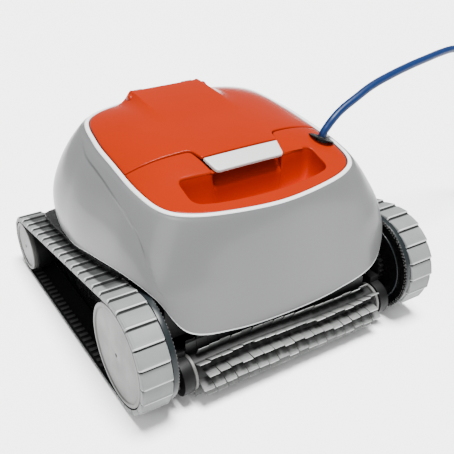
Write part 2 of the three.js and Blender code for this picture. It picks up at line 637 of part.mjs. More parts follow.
const coreTube = turnedX([[8, -BRUSH.half], [BRUSH.core, -BRUSH.half], [BRUSH.core, BRUSH.half], [8, BRUSH.half]],
  BRUSH.y, BRUSH.z, 20);
add("brush_core", coreTube, whitePlastic, brush);

function brushSleeve() {
  const bore = BRUSH.core + GAP;
  const tube = turnedX([[bore, -BRUSH.half], [BRUSH.sleeve, -BRUSH.half], [BRUSH.sleeve, BRUSH.half],
    [bore, BRUSH.half]], 0, 0, 24);
  const fins = Array.from({ length: BRUSH.rows }, (_, k) =>
    box(-BRUSH.half, BRUSH.half, -1, 1, BRUSH.sleeve - 1.5, BRUSH.tip).rotateX((k / BRUSH.rows) * TAU));
  return join(tube, ...fins).translate(0, BRUSH.y, BRUSH.z);
}
add("brush_sleeve", brushSleeve(), brushRubber, brush);

const brushEnd = turnedX([[0, 108], [7.7, 108], [7.7, BRUSH.half + GAP], [BRUSH.cap, BRUSH.half + GAP],
  [BRUSH.cap, 128], [6, 128], [6, 151], [0, 151]], BRUSH.y, BRUSH.z, 24);
addPair("brush_end", brushEnd, warmGrey, [brush, brush]);
add("brush_gear", mirrored(gear(GEAR.brushTeeth, 6.3, BRUSH.y, BRUSH.z, brushFirst)), blackSatin, brush);

function brushArm() {
  const drum = cylinderX(BRUSH.drum, 129, TUB_HALF - GAP, BRUSH.y, BRUSH.z, 28);
  const block = box(129, TUB_HALF - GAP, BRUSH.y, -130 - GAP, 20, 62);
  return cut(join(drum, block), cylinderX(6.4, 100, 200, BRUSH.y, BRUSH.z, 16));
}
addPair("brush_arm", brushArm(), blackSatin);

// ---- Pump and filter ---------------------------------------------------------------------------
add("pump_motor", cylinderZ(PUMP.radius, TUB_FLOOR + TUB_WALL + 0.4, PUMP.top, 0, PUMP.y, 28), blackRubber);
const cap = turned([[3.3, PUMP.top + GAP], [PUMP.radius + 3, PUMP.top + GAP], [PUMP.radius + 3, 154], [12, 158],
  [3.3, 158]], 24);
add("pump_motor_cap", cap.translate(0, PUMP.y, 0), blackSatin);

const rotor = new THREE.Group();
rotor.position.set(0, PUMP.y, 0);
cleaner.add(rotor);
add("pump_shaft", cylinderZ(3, 151.5, 187, 0, 0, 12), steel, rotor);

function impeller() {
  const hub = turned([[3.3, 170], [9, 170], [9, 182], [6, 185], [3.3, 185]], 16);
  const blades = Array.from({ length: 4 }, (_, k) =>
    box(7, 28, -1, 1, -9, 9).rotateX(0.6).translate(0, 0, 178).rotateZ((k / 4) * TAU));
  return join(hub, ...blades);
}
add("impeller", impeller(), whitePlastic, rotor);

function impellerDuct() {
  const tube = turned([[DUCT.inner, DUCT.bottom], [DUCT.outer, DUCT.bottom], [DUCT.outer, DUCT.top],
    [DUCT.inner, DUCT.top]], 24);
  const legs = Array.from({ length: 3 }, (_, k) =>
    box(DUCT.inner - 2, DUCT.outer, -4, 4, 155.4, DUCT.bottom + 1).rotateZ((k / 3) * TAU));
  return join(tube, ...legs).translate(0, PUMP.y, 0);
}
add("impeller_duct", impellerDuct(), blackSatin);

// An open box with a filter window in its front and back walls and two inlets in its floor.
function filterBasket() {
  const { half, y0, y1, z0, z1, wall } = BASKET;
  const body = box(-half, half, y0, y1, z0, z1);
  const hollow = box(-half + wall, half - wall, y0 + wall, y1 - wall, z0 + wall, z1 + 10);
  const windows = [[-half + 12, -4], [4, half - 12]].map(([a, b]) => box(a, b, y0 - 9, y1 + 9, z0 + 30, z1 - 16));
  const inlets = [box(PORT.x0, PORT.x1, PORT.y0, PORT.y1, 0, 30), box(-PORT.x1, -PORT.x0, PORT.y0, PORT.y1, 0, 30)];
  return cut(body, hollow, ...windows, ...inlets);
}
add("filter_basket", filterBasket(), whitePlastic);

const panel = (y) => box(-BASKET.half + 6, BASKET.half - 6, y, y + 1.2, BASKET.z0 + 24, BASKET.z1 - 10);
add("filter_panel_front", panel(BASKET.y0 + BASKET.wall + GAP), meshFabric);
add("filter_panel_rear", panel(BASKET.y1 - BASKET.wall - GAP - 1.2), meshFabric);

const flaps = [new THREE.Group(), new THREE.Group()];
cleaner.add(...flaps);
const flapFloor = BASKET.z0 + BASKET.wall + GAP;
addPair("intake_flap", box(PORT.x0 - 3, PORT.x1 + 3, PORT.y0 - 3, PORT.y1 + 4, flapFloor, flapFloor + 2), blackRubber,
  flaps);

addPair("float", box(109, 126, -30, 90, 150, 200), foam);

// ---- Cable -----------------------------------------------------------------------------------
// A broad flat collar on the cover, with a neck through it and a tapered sleeve inside.
function cableGland() {
  return leaning(turned([[0, -38], [5.5, -38], [GLAND.neck, -9], [GLAND.neck, 0.6], [GLAND.radius, 0.6],
    [GLAND.radius, 2], [GLAND.radius - 1.5, GLAND.top], [0, GLAND.top]], 20));
}
add("cable_gland", cableGland(), blackRubber);

// The lead leaves the gland square to it, arches over to the side and comes down to the floor at the
// edge of the coil.
function alongGland(distance) {
  return [GLAND.x + Math.sin(GLAND.lean) * distance, GLAND.y, GLAND.z + Math.cos(GLAND.lean) * distance];
}
const LEAD = [alongGland(GLAND.top + GAP), alongGland(9), [124, -70, 226.5], [133, -68.5, 233.5], [148, -65, 241],
  [173, -61, 250], [204, -55, 259], [242, -49, 265.5], [281, -42, 269.5], [320, -35, 272], [352, -29, 273.5],
  [384, -23, 272.5], [414, -17, 265], [441, -12, 249], [462, -8, 225], [478, -5, 195], [490, -2, 160],
  [499, 1, 122], [508, 2.5, 84], [521, 3, 49], [541, 1.5, 22], [566, 0.3, 8], [590, 0.3, 5.6]];

function lead() {
  const curve = new THREE.CatmullRomCurve3(LEAD.map(([x, y, z]) => new THREE.Vector3(x, y, z)));
  const round = Array.from({ length: 8 }, (_, k) =>
    new THREE.Vector2(CABLE_RADIUS * Math.cos((k / 8) * TAU), CABLE_RADIUS * Math.sin((k / 8) * TAU)));
  return new THREE.ExtrudeGeometry(new THREE.Shape(round), { steps: 40, extrudePath: curve, bevelEnabled: false });
}
add("cable_lead", lead(), blueJacket);

const coilProfile = [[COIL.inner, 4], [COIL.inner + 4, GAP], [COIL.outer - 4, GAP], [COIL.outer, 4],
  [COIL.outer, COIL.height - 4], [COIL.outer - 4, COIL.height], [COIL.inner + 4, COIL.height],
  [COIL.inner, COIL.height - 4]];
add("cable_coil", turned(coilProfile, 28).translate(COIL.x, COIL.y, 0), blueJacket);

// A round connector with a ribbed nut, lying on the floor beside the coil.
const plugProfile = [[0, 0], [6, 0], [8, 14], [12, 16], [12, 34], [10, 36], [10, 52], [0, 52]];
const plug = add("cable_plug", turned(plugProfile, 16).rotateY(Math.PI / 2), blackRubber);
plug.position.set(PLUG.x, PLUG.y, PLUG.z);

export default cleaner;
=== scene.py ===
import json
import math

import bpy
import numpy as np
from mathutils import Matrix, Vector
from mathutils.geometry import delaunay_2d_cdt


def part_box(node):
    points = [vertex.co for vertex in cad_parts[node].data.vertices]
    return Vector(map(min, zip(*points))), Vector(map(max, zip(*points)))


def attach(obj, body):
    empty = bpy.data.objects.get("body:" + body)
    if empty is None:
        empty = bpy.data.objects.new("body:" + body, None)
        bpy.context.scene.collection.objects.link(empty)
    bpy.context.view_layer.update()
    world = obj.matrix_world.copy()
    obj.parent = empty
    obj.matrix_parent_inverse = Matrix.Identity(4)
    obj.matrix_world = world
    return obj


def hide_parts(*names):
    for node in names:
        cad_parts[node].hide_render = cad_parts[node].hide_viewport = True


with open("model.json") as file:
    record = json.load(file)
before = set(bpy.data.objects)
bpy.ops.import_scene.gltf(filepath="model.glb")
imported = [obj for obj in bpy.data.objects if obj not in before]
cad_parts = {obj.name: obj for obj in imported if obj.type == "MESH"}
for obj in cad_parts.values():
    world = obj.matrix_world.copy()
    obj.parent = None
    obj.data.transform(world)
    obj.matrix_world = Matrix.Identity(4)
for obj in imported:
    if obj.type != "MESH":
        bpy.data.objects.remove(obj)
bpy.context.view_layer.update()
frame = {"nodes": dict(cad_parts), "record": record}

MM = 0.001
TAU = 2 * math.pi
DEG = math.pi / 180
SIDE_NAMES = {-1: "left", 1: "right"}

# ---- Driving dimensions, as in the CAD model ----
HALF_WIDTH = 195.0
TRACK_WIDTH = 34.0
TRACK_INNER = HALF_WIDTH - TRACK_WIDTH
FRONT_AXLE = (-138.0, 65.0)
REAR_AXLE = (162.0, 41.0)
BELT = 3.4
PAD_HEIGHT = 3.2
PAD_COUNT = 44
RIM_DEPTH = 7.0
LEDGE_WIDTH = 7.0
LEDGE_THICKNESS = 3.5
SHELL_WALL = 3.5
LID_GAP = 1.2
LID_SHEET = 3.0
CROWN = 19.0
HINGE_Y, HINGE_Z, HINGE_BARREL = 117.0, 242.0, 4.5
LATCH_Y, LATCH_Z, LATCH_TILT = -70.0, 220.75, 21 * DEG
POCKET_FLOOR = 171.0
BRUSH_Y, BRUSH_Z, BRUSH_HALF, BRUSH_CAP = -166.5, 33.0, 124.0, 20.5
GLAND = {"x": 115.0, "y": -71.0, "z": 213.0, "radius": 14.0, "top": 3.0, "lean": 22 * DEG}
CABLE_RADIUS = 5.0
COIL = {"x": 590.0, "y": -107.0, "inner": 42.0, "outer": 102.0, "layers": 6}
FLANGE = {"inner": 52.0, "outer": 62.5, "x0": 154.3}


# ---- Curves and fields ----
def smooth(value):
    t = np.clip(value, 0.0, 1.0)
    return t * t * (3 - 2 * t)


def catmull_loop(points, count):
    """Points evenly spaced in parameter along a closed Catmull-Rom curve."""
    points = np.asarray(points, float)
    n = len(points)
    t = np.arange(count) / count * n
    k = np.floor(t).astype(int)
    u = (t - k)[:, None]
    p0, p1, p2, p3 = (points[(k + shift) % n] for shift in (-1, 0, 1, 2))
    return 0.5 * (
        2 * p1
        + (p2 - p0) * u
        + (2 * p0 - 5 * p1 + 4 * p2 - p3) * u**2
        + (3 * p1 - p0 - 3 * p2 + p3) * u**3
    )


def both_sides(half):
    """Closes a half outline, listed from the front centre to the rear centre, by its mirror image."""
    other = [(-p[0], *p[1:]) for p in reversed(half[1:-1])]
    return np.array([*half, *other], float)


def resample(loop, step):
    """A closed polyline with points about one step apart."""
    loop = np.asarray(loop, float)
    ends = np.roll(loop, -1, axis=0)
    out = []
    for start, end in zip(loop, ends):
        pieces = max(int(round(np.linalg.norm(end - start) / step)), 1)
        out += [start + (end - start) * i / pieces for i in range(pieces)]
    return np.array(out)


def rounded(points, radius, steps=5, closed=True):
    """A polyline whose corners are rounded; radius is one number or one for each corner."""
    points = [np.asarray(p, float) for p in points]
    radii = list(radius) if hasattr(radius, "__len__") else [radius] * len(points)
    out = []
    for k, corner in enumerate(points):
        if not closed and k in (0, len(points) - 1):
            out.append(corner)
            continue
        before = points[k - 1] - corner
        after = points[(k + 1) % len(points)] - corner
        room = 0.48 * min(np.linalg.norm(before), np.linalg.norm(after))
        reach = min(radii[k], room)
        if reach < 1e-6:
            out.append(corner)
            continue
        start = corner + before / np.linalg.norm(before) * reach
        end = corner + after / np.linalg.norm(after) * reach
        for i in range(steps + 1):
            u = i / steps
            out.append((1 - u) ** 2 * start + 2 * u * (1 - u) * corner + u * u * end)
    return np.array(out)


def outward(loop):
    """The outward plan direction at each point of an anticlockwise loop."""
    along = np.roll(loop, -1, axis=0)[:, :2] - np.roll(loop, 1, axis=0)[:, :2]
    normal = np.stack([along[:, 1], -along[:, 0]], axis=1)
    return normal / np.maximum(np.linalg.norm(normal, axis=1, keepdims=True), 1e-9)


def anticlockwise(loop):
    x, y = loop[:, 0], loop[:, 1]
    area = np.sum(x * np.roll(y, -1) - y * np.roll(x, -1))
    return loop if area > 0 else loop[::-1]


def inside(points, loop):
    """True for each plan point within a closed polyline."""
    x, y = points[:, 0], points[:, 1]
    result = np.zeros(len(points), bool)
    for (x0, y0), (x1, y1) in zip(loop, np.roll(loop, -1, axis=0)):
        if y0 == y1:
            continue
        crosses = (y0 > y) != (y1 > y)
        result ^= crosses & (x < (x1 - x0) * (y - y0) / (y1 - y0) + x0)
    return result


def within(points, loops):
    """True for each plan point inside the first loop and outside the others."""
    result = inside(points, loops[0])
    for hole in loops[1:]:
        result &= ~inside(points, hole)
    return result


def distance_to(points, loop):
    """The plan distance from each point to the nearest corner of a loop."""
    return np.linalg.norm(points[:, None] - loop[None], axis=2).min(axis=1)


# ---- Mesh tools ----
def link(obj):
    bpy.context.scene.collection.objects.link(obj)
    return obj


def piece(name, verts, faces, material, body, slot, replaces=None, sharp=35, parts=None):
    """A mesh object that rides on a CAD body; parts gives a material index for each face."""
    mesh = bpy.data.meshes.new(name)
    mesh.from_pydata((np.asarray(verts, float) * MM).tolist(), [], [list(map(int, f)) for f in faces])
    mesh.validate()
    for one in material if isinstance(material, list) else [material]:
        mesh.materials.append(one)
    mesh.polygons.foreach_set("use_smooth", [True] * len(mesh.polygons))
    if parts is not None:
        mesh.polygons.foreach_set("material_index", list(map(int, parts)))
    mesh.set_sharp_from_angle(angle=sharp * DEG)
    obj = link(bpy.data.objects.new(name, mesh))
    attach(obj, body)
    if replaces:
        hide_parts(replaces)
    return obj


def skin(rings, closed_along=False, first_cap=False, last_cap=False):
    """Faces that join equal rings of points, each ring closed on itself."""
    rings = [np.asarray(r, float) for r in rings]
    count = len(rings[0])
    faces = []
    pairs = len(rings) if closed_along else len(rings) - 1
    for r in range(pairs):
        a, b = r * count, ((r + 1) % len(rings)) * count
        for k in range(count):
            n = (k + 1) % count
            faces.append((a + k, a + n, b + n, b + k))
    if first_cap:
        faces.append(tuple(reversed(range(count))))
    if last_cap:
        faces.append(tuple(range((len(rings) - 1) * count, len(rings) * count)))
    return np.concatenate(rings), faces


def merge(*bodies):
    """Several (verts, faces) pairs as one."""
    verts, faces, base = [], [], 0
    for v, f in bodies:
        verts.append(np.asarray(v, float))
        faces += [tuple(i + base for i in face) for face in f]
        base += len(v)
    return np.concatenate(verts), faces


def mirror_x(body):
    verts, faces = body
    return np.asarray(verts) * (-1, 1, 1), [tuple(reversed(f)) for f in faces]


def on_side(side, body):
    """A body made for the right side, mirrored where the side is -1."""
    return body if side > 0 else mirror_x(body)


def around(radius, steps, centre=(0.0, 0.0)):
    """The two coordinates of points round a circle; radius is one number or one for each point."""
    angle = np.arange(steps) / steps * TAU
    return centre[0] + radius * np.cos(angle), centre[1] + radius * np.sin(angle)


def lathe_x(profile, axle, steps=96, side=1):
    """Turns a closed (radius, x) profile about an axis along X through axle = (y, z)."""
    rings = [np.stack([np.full(steps, x), *around(radius, steps, axle)], 1) for radius, x in profile]
    return on_side(side, skin(rings, closed_along=True))


def triangulate(loops, grid):
    """Triangles over closed plan loops and loose points; returns each point's source as well."""
    flat = np.concatenate([*loops, grid])
    edges, start = [], 0
    for loop in loops:
        n = len(loop)
        edges += [(start + k, start + (k + 1) % n) for k in range(n)]
        start += n
    made, _, triangles, origin, _, _ = delaunay_2d_cdt([Vector(p) for p in flat], edges, [], 1, 1e-5)
    return np.array([tuple(p) for p in made]), np.array(triangles), origin


def plate(outer, height, thickness, edge, spacing, fine=(), holes=()):
    """A closed sheet over a plan outline: its top is height(x, y), and its edges are rounded."""
    loops = [anticlockwise(np.asarray(outer, float))]
    loops += [anticlockwise(np.asarray(h, float))[::-1] for h in holes]
    insets = np.array([0.0, 0.1, 0.3, 0.6, 1.0]) * edge
    verts, faces, inner_ids, bottom_ids = [], [], [], []
    for loop in loops:
        normal = outward(loop)
        rows = []
        for inset in insets:
            plan = loop - normal * inset
            drop = edge - math.sqrt(max(edge**2 - (edge - inset) ** 2, 0.0))
            z = height(plan[:, 0], plan[:, 1]) - drop
            rows.append(np.column_stack([plan, z]))
        low = np.column_stack([loop, height(loop[:, 0], loop[:, 1]) - thickness])
        base, count = sum(len(v) for v in verts), len(loop)
        verts += [low, *rows]
        for r in range(len(rows)):
            a, b = base + r * count, base + (r + 1) * count
            faces += [(a + k, a + (k + 1) % count, b + (k + 1) % count, b + k) for k in range(count)]
        inner_ids.append(np.arange(count) + base + len(rows) * count)
        bottom_ids.append(np.arange(count) + base)
    ring = np.concatenate(verts)
    inner = [ring[ids][:, :2] for ids in inner_ids]
    made, triangles, origin = triangulate(inner, inner_points(inner, spacing, fine))
    heights = height(made[:, 0], made[:, 1])
    ring_ids = np.concatenate(inner_ids)
    source = np.array([own[0] if own and own[0] < len(ring_ids) else -1 for own in origin])
    free = source < 0
    loose = int(free.sum())
    top_id, low_id = ring_ids[source], np.concatenate(bottom_ids)[source]
    top_id[free] = len(ring) + np.arange(loose)
    low_id[free] = top_id[free] + loose
    for tri in triangles[within(made[triangles].mean(axis=1), inner)]:
        a, b, c = made[tri]
        turn = (b[0] - a[0]) * (c[1] - a[1]) - (b[1] - a[1]) * (c[0] - a[0])
        tri = tri if turn > 0 else tri[::-1]
        faces.append(tuple(top_id[tri]))
        faces.append(tuple(low_id[tri[::-1]]))
    extra = [np.column_stack([made[free], heights[free] - drop]) for drop in (0.0, thickness)]
    return np.concatenate([ring, *extra]), faces


def inner_points(loops, spacing, fine):
    """Grid points within the loops: spacing apart, and closer within the boxes of fine."""
    low, high = loops[0].min(axis=0), loops[0].max(axis=0)

    def grid(x0, x1, y0, y1, step):
        xs, ys = np.arange(x0 + step / 2, x1, step), np.arange(y0 + step / 2, y1, step)
        return np.stack(np.meshgrid(xs, ys), -1).reshape(-1, 2)

    sets = [(grid(low[0], high[0], low[1], high[1], spacing), spacing)]
    for x0, x1, y0, y1, step in fine:
        kept = []
        for points, gap in sets:
            covered = np.all((points > (x0, y0)) & (points < (x1, y1)), axis=1)
            kept.append((points[~covered], gap))
        sets = [*kept, (grid(x0, x1, y0, y1, step), step)]
    out = []
    for points, gap in sets:
        points = points[within(points, loops)]
        near = np.min([distance_to(points, loop) for loop in loops], axis=0) if len(points) else np.zeros(0)
        out.append(points[near > 0.6 * gap])
    return np.concatenate(out)


# ---- Materials ----
class Shader:
    """A node material: a Principled surface whose inputs are fed by small noise networks."""

    def __init__(self, name, roughness, metallic=0.0, coat=0.0, specular=0.5):
        self.material = bpy.data.materials.new(name)
        self.material.use_nodes = True
        self.nodes = self.material.node_tree.nodes
        self.links = self.material.node_tree.links
        self.surface = self.nodes["Principled BSDF"]
        settings = {"Roughness": roughness, "Metallic": metallic, "Coat Weight": coat, "Coat Roughness": 0.05,
                    "Specular IOR Level": specular}
        for key, value in settings.items():
            self.surface.inputs[key].default_value = value
        self.place = self.nodes.new("ShaderNodeTexCoord").outputs["Object"]

    def noise(self, scale, detail=3.0, stretch=(1, 1, 1)):
        where = self.place
        if tuple(stretch) != (1, 1, 1):
            mapping = self.nodes.new("ShaderNodeMapping")
            mapping.inputs["Scale"].default_value = stretch
            self.links.new(where, mapping.inputs["Vector"])
            where = mapping.outputs["Vector"]
        node = self.nodes.new("ShaderNodeTexNoise")
        node.inputs["Scale"].default_value = scale
        node.inputs["Detail"].default_value = detail
        self.links.new(where, node.inputs["Vector"])
        return node.outputs["Fac"]

    def spread(self, source, low, high, out_low=0.0, out_high=1.0):
        node = self.nodes.new("ShaderNodeMapRange")
        for key, value in (("From Min", low), ("From Max", high), ("To Min", out_low), ("To Max", out_high)):
            node.inputs[key].default_value = value
        self.links.new(source, node.inputs["Value"])
        return node.outputs["Result"]

    def fade(self, source, start, end, strength=1.0):
        """Grows from 0 where the source is at start to strength at end, both in millimetres."""
        return self.spread(source, start * MM, end * MM, 0.0, strength)

    def mix(self, factor, first, second):
        node = self.nodes.new("ShaderNodeMix")
        node.data_type = "RGBA"
        self.links.new(factor, node.inputs["Factor"])
        for socket, value in ((node.inputs["A"], first), (node.inputs["B"], second)):
            if isinstance(value, tuple):
                socket.default_value = (*value, 1)
            else:
                self.links.new(value, socket)
        return node.outputs["Result"]

    def math(self, operation, *sources):
        node = self.nodes.new("ShaderNodeMath")
        node.operation = operation
        for socket, source in zip(node.inputs, sources):
            self.links.new(source, socket)
        return node.outputs["Value"]

    def product(self, first, *others):
        for other in others:
            first = self.math("MULTIPLY", first, other)
        return first

    def vector(self, operation, source, other=(0, 0, 0)):
        node = self.nodes.new("ShaderNodeVectorMath")
        node.operation = operation
        self.links.new(source, node.inputs[0])
        node.inputs[1].default_value = other
        return node

    def axes(self):
        node = self.nodes.new("ShaderNodeSeparateXYZ")
        self.links.new(self.place, node.inputs["Vector"])
        return node.outputs

    def cloudy(self, color, drift):
        """A colour that drifts slowly a share darker and lighter."""
        cloud = self.spread(self.noise(9, 4), 0.3, 0.7)
        return self.mix(cloud, shade(color, 1 - drift), shade(color, 1 + drift))

    def dusty(self, color, darker, lighter):
        """A colour with fine patches of dust on it."""
        dust = self.spread(self.noise(60, 6), 0.35, 0.75)
        return self.mix(dust, shade(color, darker), shade(color, lighter))

    def color(self, source):
        self.links.new(source, self.surface.inputs["Base Color"])

    def rough(self, source):
        self.links.new(source, self.surface.inputs["Roughness"])

    def bump(self, source, depth):
        """Adds a height in metres to the surface; several calls stack."""
        node = self.nodes.new("ShaderNodeBump")
        node.inputs["Distance"].default_value = depth
        self.links.new(source, node.inputs["Height"])
        normal = self.surface.inputs["Normal"]
        if normal.is_linked:
            self.links.new(normal.links[0].from_socket, node.inputs["Normal"])
        self.links.new(node.outputs["Normal"], normal)

    def pebbled(self, roughness):
        """The soft uneven skin of moulded rubber."""
        self.rough(self.spread(self.noise(200, 4), 0.3, 0.7, roughness * 0.9, min(roughness * 1.1, 1.0)))
        self.bump(self.noise(700, 3), 0.00005)


def shade(color, factor):
    return tuple(min(c * factor, 1.0) for c in color)


def moulded(name, color, roughness, coat=0.0, grain=0.00002, grain_scale=900, drift=0.06, specular=0.5):
    """Moulded plastic: a slow drift of colour, patchy polish, and a fine grain."""
    s = Shader(name, roughness, coat=coat, specular=specular)
    s.color(s.cloudy(color, drift))
    s.rough(s.spread(s.noise(40, 5), 0.3, 0.7, roughness * 0.85, roughness * 1.15))
    if grain:
        s.bump(s.noise(grain_scale, 2), grain)
    return s.material


def rubber(name, color, roughness, drift=0.1):
    """Moulded rubber: matt, slightly dusty, with a soft pebbled skin."""
    s = Shader(name, roughness, specular=0.15)
    s.color(s.dusty(color, 1 - drift, 1 + drift))
    s.pebbled(roughness)
    return s.material


def brushed_steel(name, color):
    """Turned steel bar: fine scratches round the bar."""
    s = Shader(name, 0.28, metallic=1.0)
    lines = s.noise(120, 3, stretch=(30, 1, 1))
    s.color(s.mix(lines, shade(color, 0.85), shade(color, 1.1)))
    s.rough(s.spread(lines, 0.3, 0.7, 0.2, 0.4))
    s.bump(lines, 0.00001)
    return s.material


def woven(name, color):
    """Fine filter gauze: two sets of threads at right angles."""
    s = Shader(name, 0.8, specular=0.2)
    waves = []
    for direction in ("X", "Z"):
        wave = s.nodes.new("ShaderNodeTexWave")
        wave.bands_direction = direction
        wave.inputs["Scale"].default_value = 260
        s.links.new(s.place, wave.inputs["Vector"])
        waves.append(wave.outputs["Fac"])
    weave = s.math("MAXIMUM", *waves)
    s.color(s.mix(weave, shade(color, 0.35), shade(color, 1.2)))
    s.bump(weave, 0.0002)
    return s.material


def brush_flap(name, root, middle, tip, axis, radii):
    """Flap rubber with painted shade at the root and a painted highlight toward the tip, by distance from the
    brush's axis.
    """
    s = Shader(name, 0.55, specular=0.15)
    offset = s.vector("SUBTRACT", s.place, (0, axis[0] * MM, axis[1] * MM))
    flat = s.vector("MULTIPLY", offset.outputs["Vector"], (0, 1, 1))
    distance = s.vector("LENGTH", flat.outputs["Vector"]).outputs["Value"]
    inner, edge, outer = radii
    body = s.mix(s.fade(distance, inner, edge), root, middle)
    root_to_tip_light = s.mix(s.fade(distance, edge, outer), body, tip)
    streak = s.spread(s.noise(150, 4, stretch=(1, 6, 6)), 0.3, 0.7, 0.8, 1.15)
    tint = s.vector("SCALE", root_to_tip_light)
    s.links.new(streak, tint.inputs["Scale"])
    s.color(tint.outputs["Vector"])
    s.bump(s.noise(500, 3), 0.00006)
    return s.material


# Where the painted shade on a belt starts and is full: on the floor run under the machine, and on the strip
# of the upper run beside the deck.
FLOOR_RUN_SHADE = {"z": (12, 6), "y": (-135, -110)}
DECK_SHADE = {"x": (186.5, 183.5), "y": (-118, -95), "z": (76, 82), "strength": 0.93}


def belt_rubber(name, color, roughness):
    """Tread rubber, with painted shade on the floor run under the machine and on the upper run's inner strip
    beside the deck.
    """
    s = Shader(name, roughness, specular=0.2)
    x, y, z = s.axes()
    # Painted shade on the floor run, darker where it runs low under the machine.
    under = s.product(s.fade(z, *FLOOR_RUN_SHADE["z"]), s.fade(y, *FLOOR_RUN_SHADE["y"]))
    # Painted shade on the upper run's inner strip, where the shell and deck overhang it.
    inner = s.fade(s.math("ABSOLUTE", x), *DECK_SHADE["x"], DECK_SHADE["strength"])
    beside = s.product(inner, s.fade(z, *DECK_SHADE["z"]), s.fade(y, *DECK_SHADE["y"]))
    s.color(s.mix(s.math("MAXIMUM", under, beside), s.dusty(color, 0.93, 1.06), shade(color, 0.12)))
    s.pebbled(roughness)
    return s.material


# The crease down each side of the shell, as (y, z) from the rim to the lower edge.
CREASE = [(64, 222), (34, 212), (0, 207), (-38, 200), (-76, 191), (-104, 181), (-124, 167), (-131, 158)]
CREASE_DEPTH = 1.0
CREASE_SHADE_LINE = {"soft": 1.6, "full": 0.4, "strength": 0.6, "front_fade": 12, "back_fade": 50}


def shell_plastic(name, color):
    """Grey moulded plastic, with a fine line of painted shade along the crease down each side."""
    s = Shader(name, 0.3, coat=0.08, specular=0.35)
    _, y, z = s.axes()
    (back, high), (front, low) = CREASE[0], CREASE[-1]
    curve = s.nodes.new("ShaderNodeFloatCurve")
    s.links.new(s.fade(y, front, back), curve.inputs["Value"])
    for corner_y, corner_z in CREASE[1:-1]:
        place = (corner_y - front) / (back - front), (corner_z - low) / (high - low)
        curve.mapping.curves[0].points.new(*place)
    curve.mapping.update()
    height = s.spread(curve.outputs["Value"], 0.0, 1.0, low * MM, high * MM)
    # Painted shade: a thin dark line where the crease turns the surface away from the light.
    gap = s.math("ABSOLUTE", s.math("SUBTRACT", z, height))
    near = s.fade(gap, CREASE_SHADE_LINE["soft"], CREASE_SHADE_LINE["full"], CREASE_SHADE_LINE["strength"])
    ahead = s.fade(y, front, front + CREASE_SHADE_LINE["front_fade"])
    behind = s.fade(y, back, back - CREASE_SHADE_LINE["back_fade"])
    s.color(s.mix(s.product(near, ahead, behind), s.cloudy(color, 0.03), shade(color, 0.2)))
    return s.material


GREY = shell_plastic("shell_plastic", (0.085, 0.086, 0.087))
# Painted light: the rim's land and a thin line along the hem are pale grey, a painted sheen of the top light
# on the land and a painted highlight on the hem.
LAND_AND_HEM_HIGHLIGHT = moulded("rim_highlight_plastic", (0.55, 0.56, 0.57), 0.35, drift=0.02, grain=0)
ORANGE = moulded("lid_plastic", (0.19, 0.0095, 0.0001), 0.22, drift=0.03, specular=0.06, grain=0)
# Painted light: the pocket is a brighter, redder orange than the lid, for the orange light bouncing inside
# it.
RECESS_BOUNCE = moulded("recess_bounce_plastic", (0.3, 0.011, 0.0001), 0.25, drift=0.03, specular=0.05, grain=0)
PALE = moulded("handle_plastic", (0.40, 0.40, 0.395), 0.4, drift=0.02)
DISC = moulded("disc_plastic", (0.05, 0.0505, 0.0475), 0.45, grain=0.00004, grain_scale=500)
RING = moulded("brush_cap_plastic", (0.06, 0.06, 0.058), 0.45, grain=0.00004, grain_scale=500)
SLATE = moulded("flange_plastic", (0.006, 0.0085, 0.0095), 0.3, drift=0.1, specular=0.2)
BLACK_GLOSS = moulded("gloss_black_plastic", (0.0015, 0.0015, 0.0016), 0.25, drift=0.1, specular=0.1)
BLACK = moulded("black_plastic", (0.0025, 0.0025, 0.0027), 0.45, grain=0.00005, grain_scale=400, drift=0.15,
                specular=0.12)
WHITE = moulded("white_plastic", (0.25, 0.25, 0.24), 0.45)
TREAD = belt_rubber("tread_rubber", (0.125, 0.131, 0.129), 0.5)
# Painted shade: the groove faces and the step down into them are near black, for the shade in the grooves.
PAINTED_GROOVE_SHADE = belt_rubber("groove_shade_rubber", (0.018, 0.019, 0.019), 0.7)
# Painted highlight: the rib tops are a paler copy of the tread rubber.
RIB_HIGHLIGHT = belt_rubber("rib_highlight_rubber", (0.3, 0.31, 0.305), 0.45)
# Painted shade: the belt's inside is near black and its teeth dark grey, for the shade within the closed loop
# over the rubber's own dark colour.
BELT_INSIDE_SHADE = rubber("belt_inner_shaded_rubber", (0.002, 0.002, 0.002), 0.8)
TOOTH_SHADE = rubber("belt_tooth_shaded_rubber", (0.022, 0.022, 0.022), 0.7)
PEG = rubber("flange_peg_rubber", (0.05, 0.05, 0.048), 0.6, drift=0.3)
SEAL = rubber("seal_rubber", (0.002, 0.002, 0.0021), 0.5)
# Painted light: each flap runs from a painted dark root to a painted pale tip.
FLAP_RUBBER = brush_flap("brush_rubber", (0.016, 0.0165, 0.016), (0.14, 0.145, 0.14), (0.4, 0.41, 0.4),
                         (BRUSH_Y, BRUSH_Z), (20.5, 30.5, 31.1))
JACKET = rubber("cable_jacket", (0.0025, 0.013, 0.056), 0.35, drift=0.08)
STEEL = brushed_steel("turned_steel", (0.2, 0.21, 0.22))
GAUZE = woven("filter_gauze", (0.02, 0.03, 0.05))
FOAM = rubber("float_foam", (0.3, 0.27, 0.2), 0.9)

# ---- Camera and lights ----
camera_data = bpy.data.cameras.new("camera")
camera_data.lens = 54.33
camera_data.sensor_width = 36
camera = link(bpy.data.objects.new("camera", camera_data))
camera.location = (-0.3903, -0.6582, 0.5278)
camera.rotation_euler = ((90 - 29.711) * DEG, -0.313 * DEG, -32.203 * DEG)
bpy.context.scene.camera = camera


def sun(name, toward, angle, strength):
    """A distant soft light; toward points from the object to the light."""
    data = bpy.data.lights.new(name, "SUN")
    data.angle = angle * DEG
    data.energy = strength
    light = link(bpy.data.objects.new(name, data))
    light.rotation_euler = Vector(toward).to_track_quat("Z", "Y").to_euler()


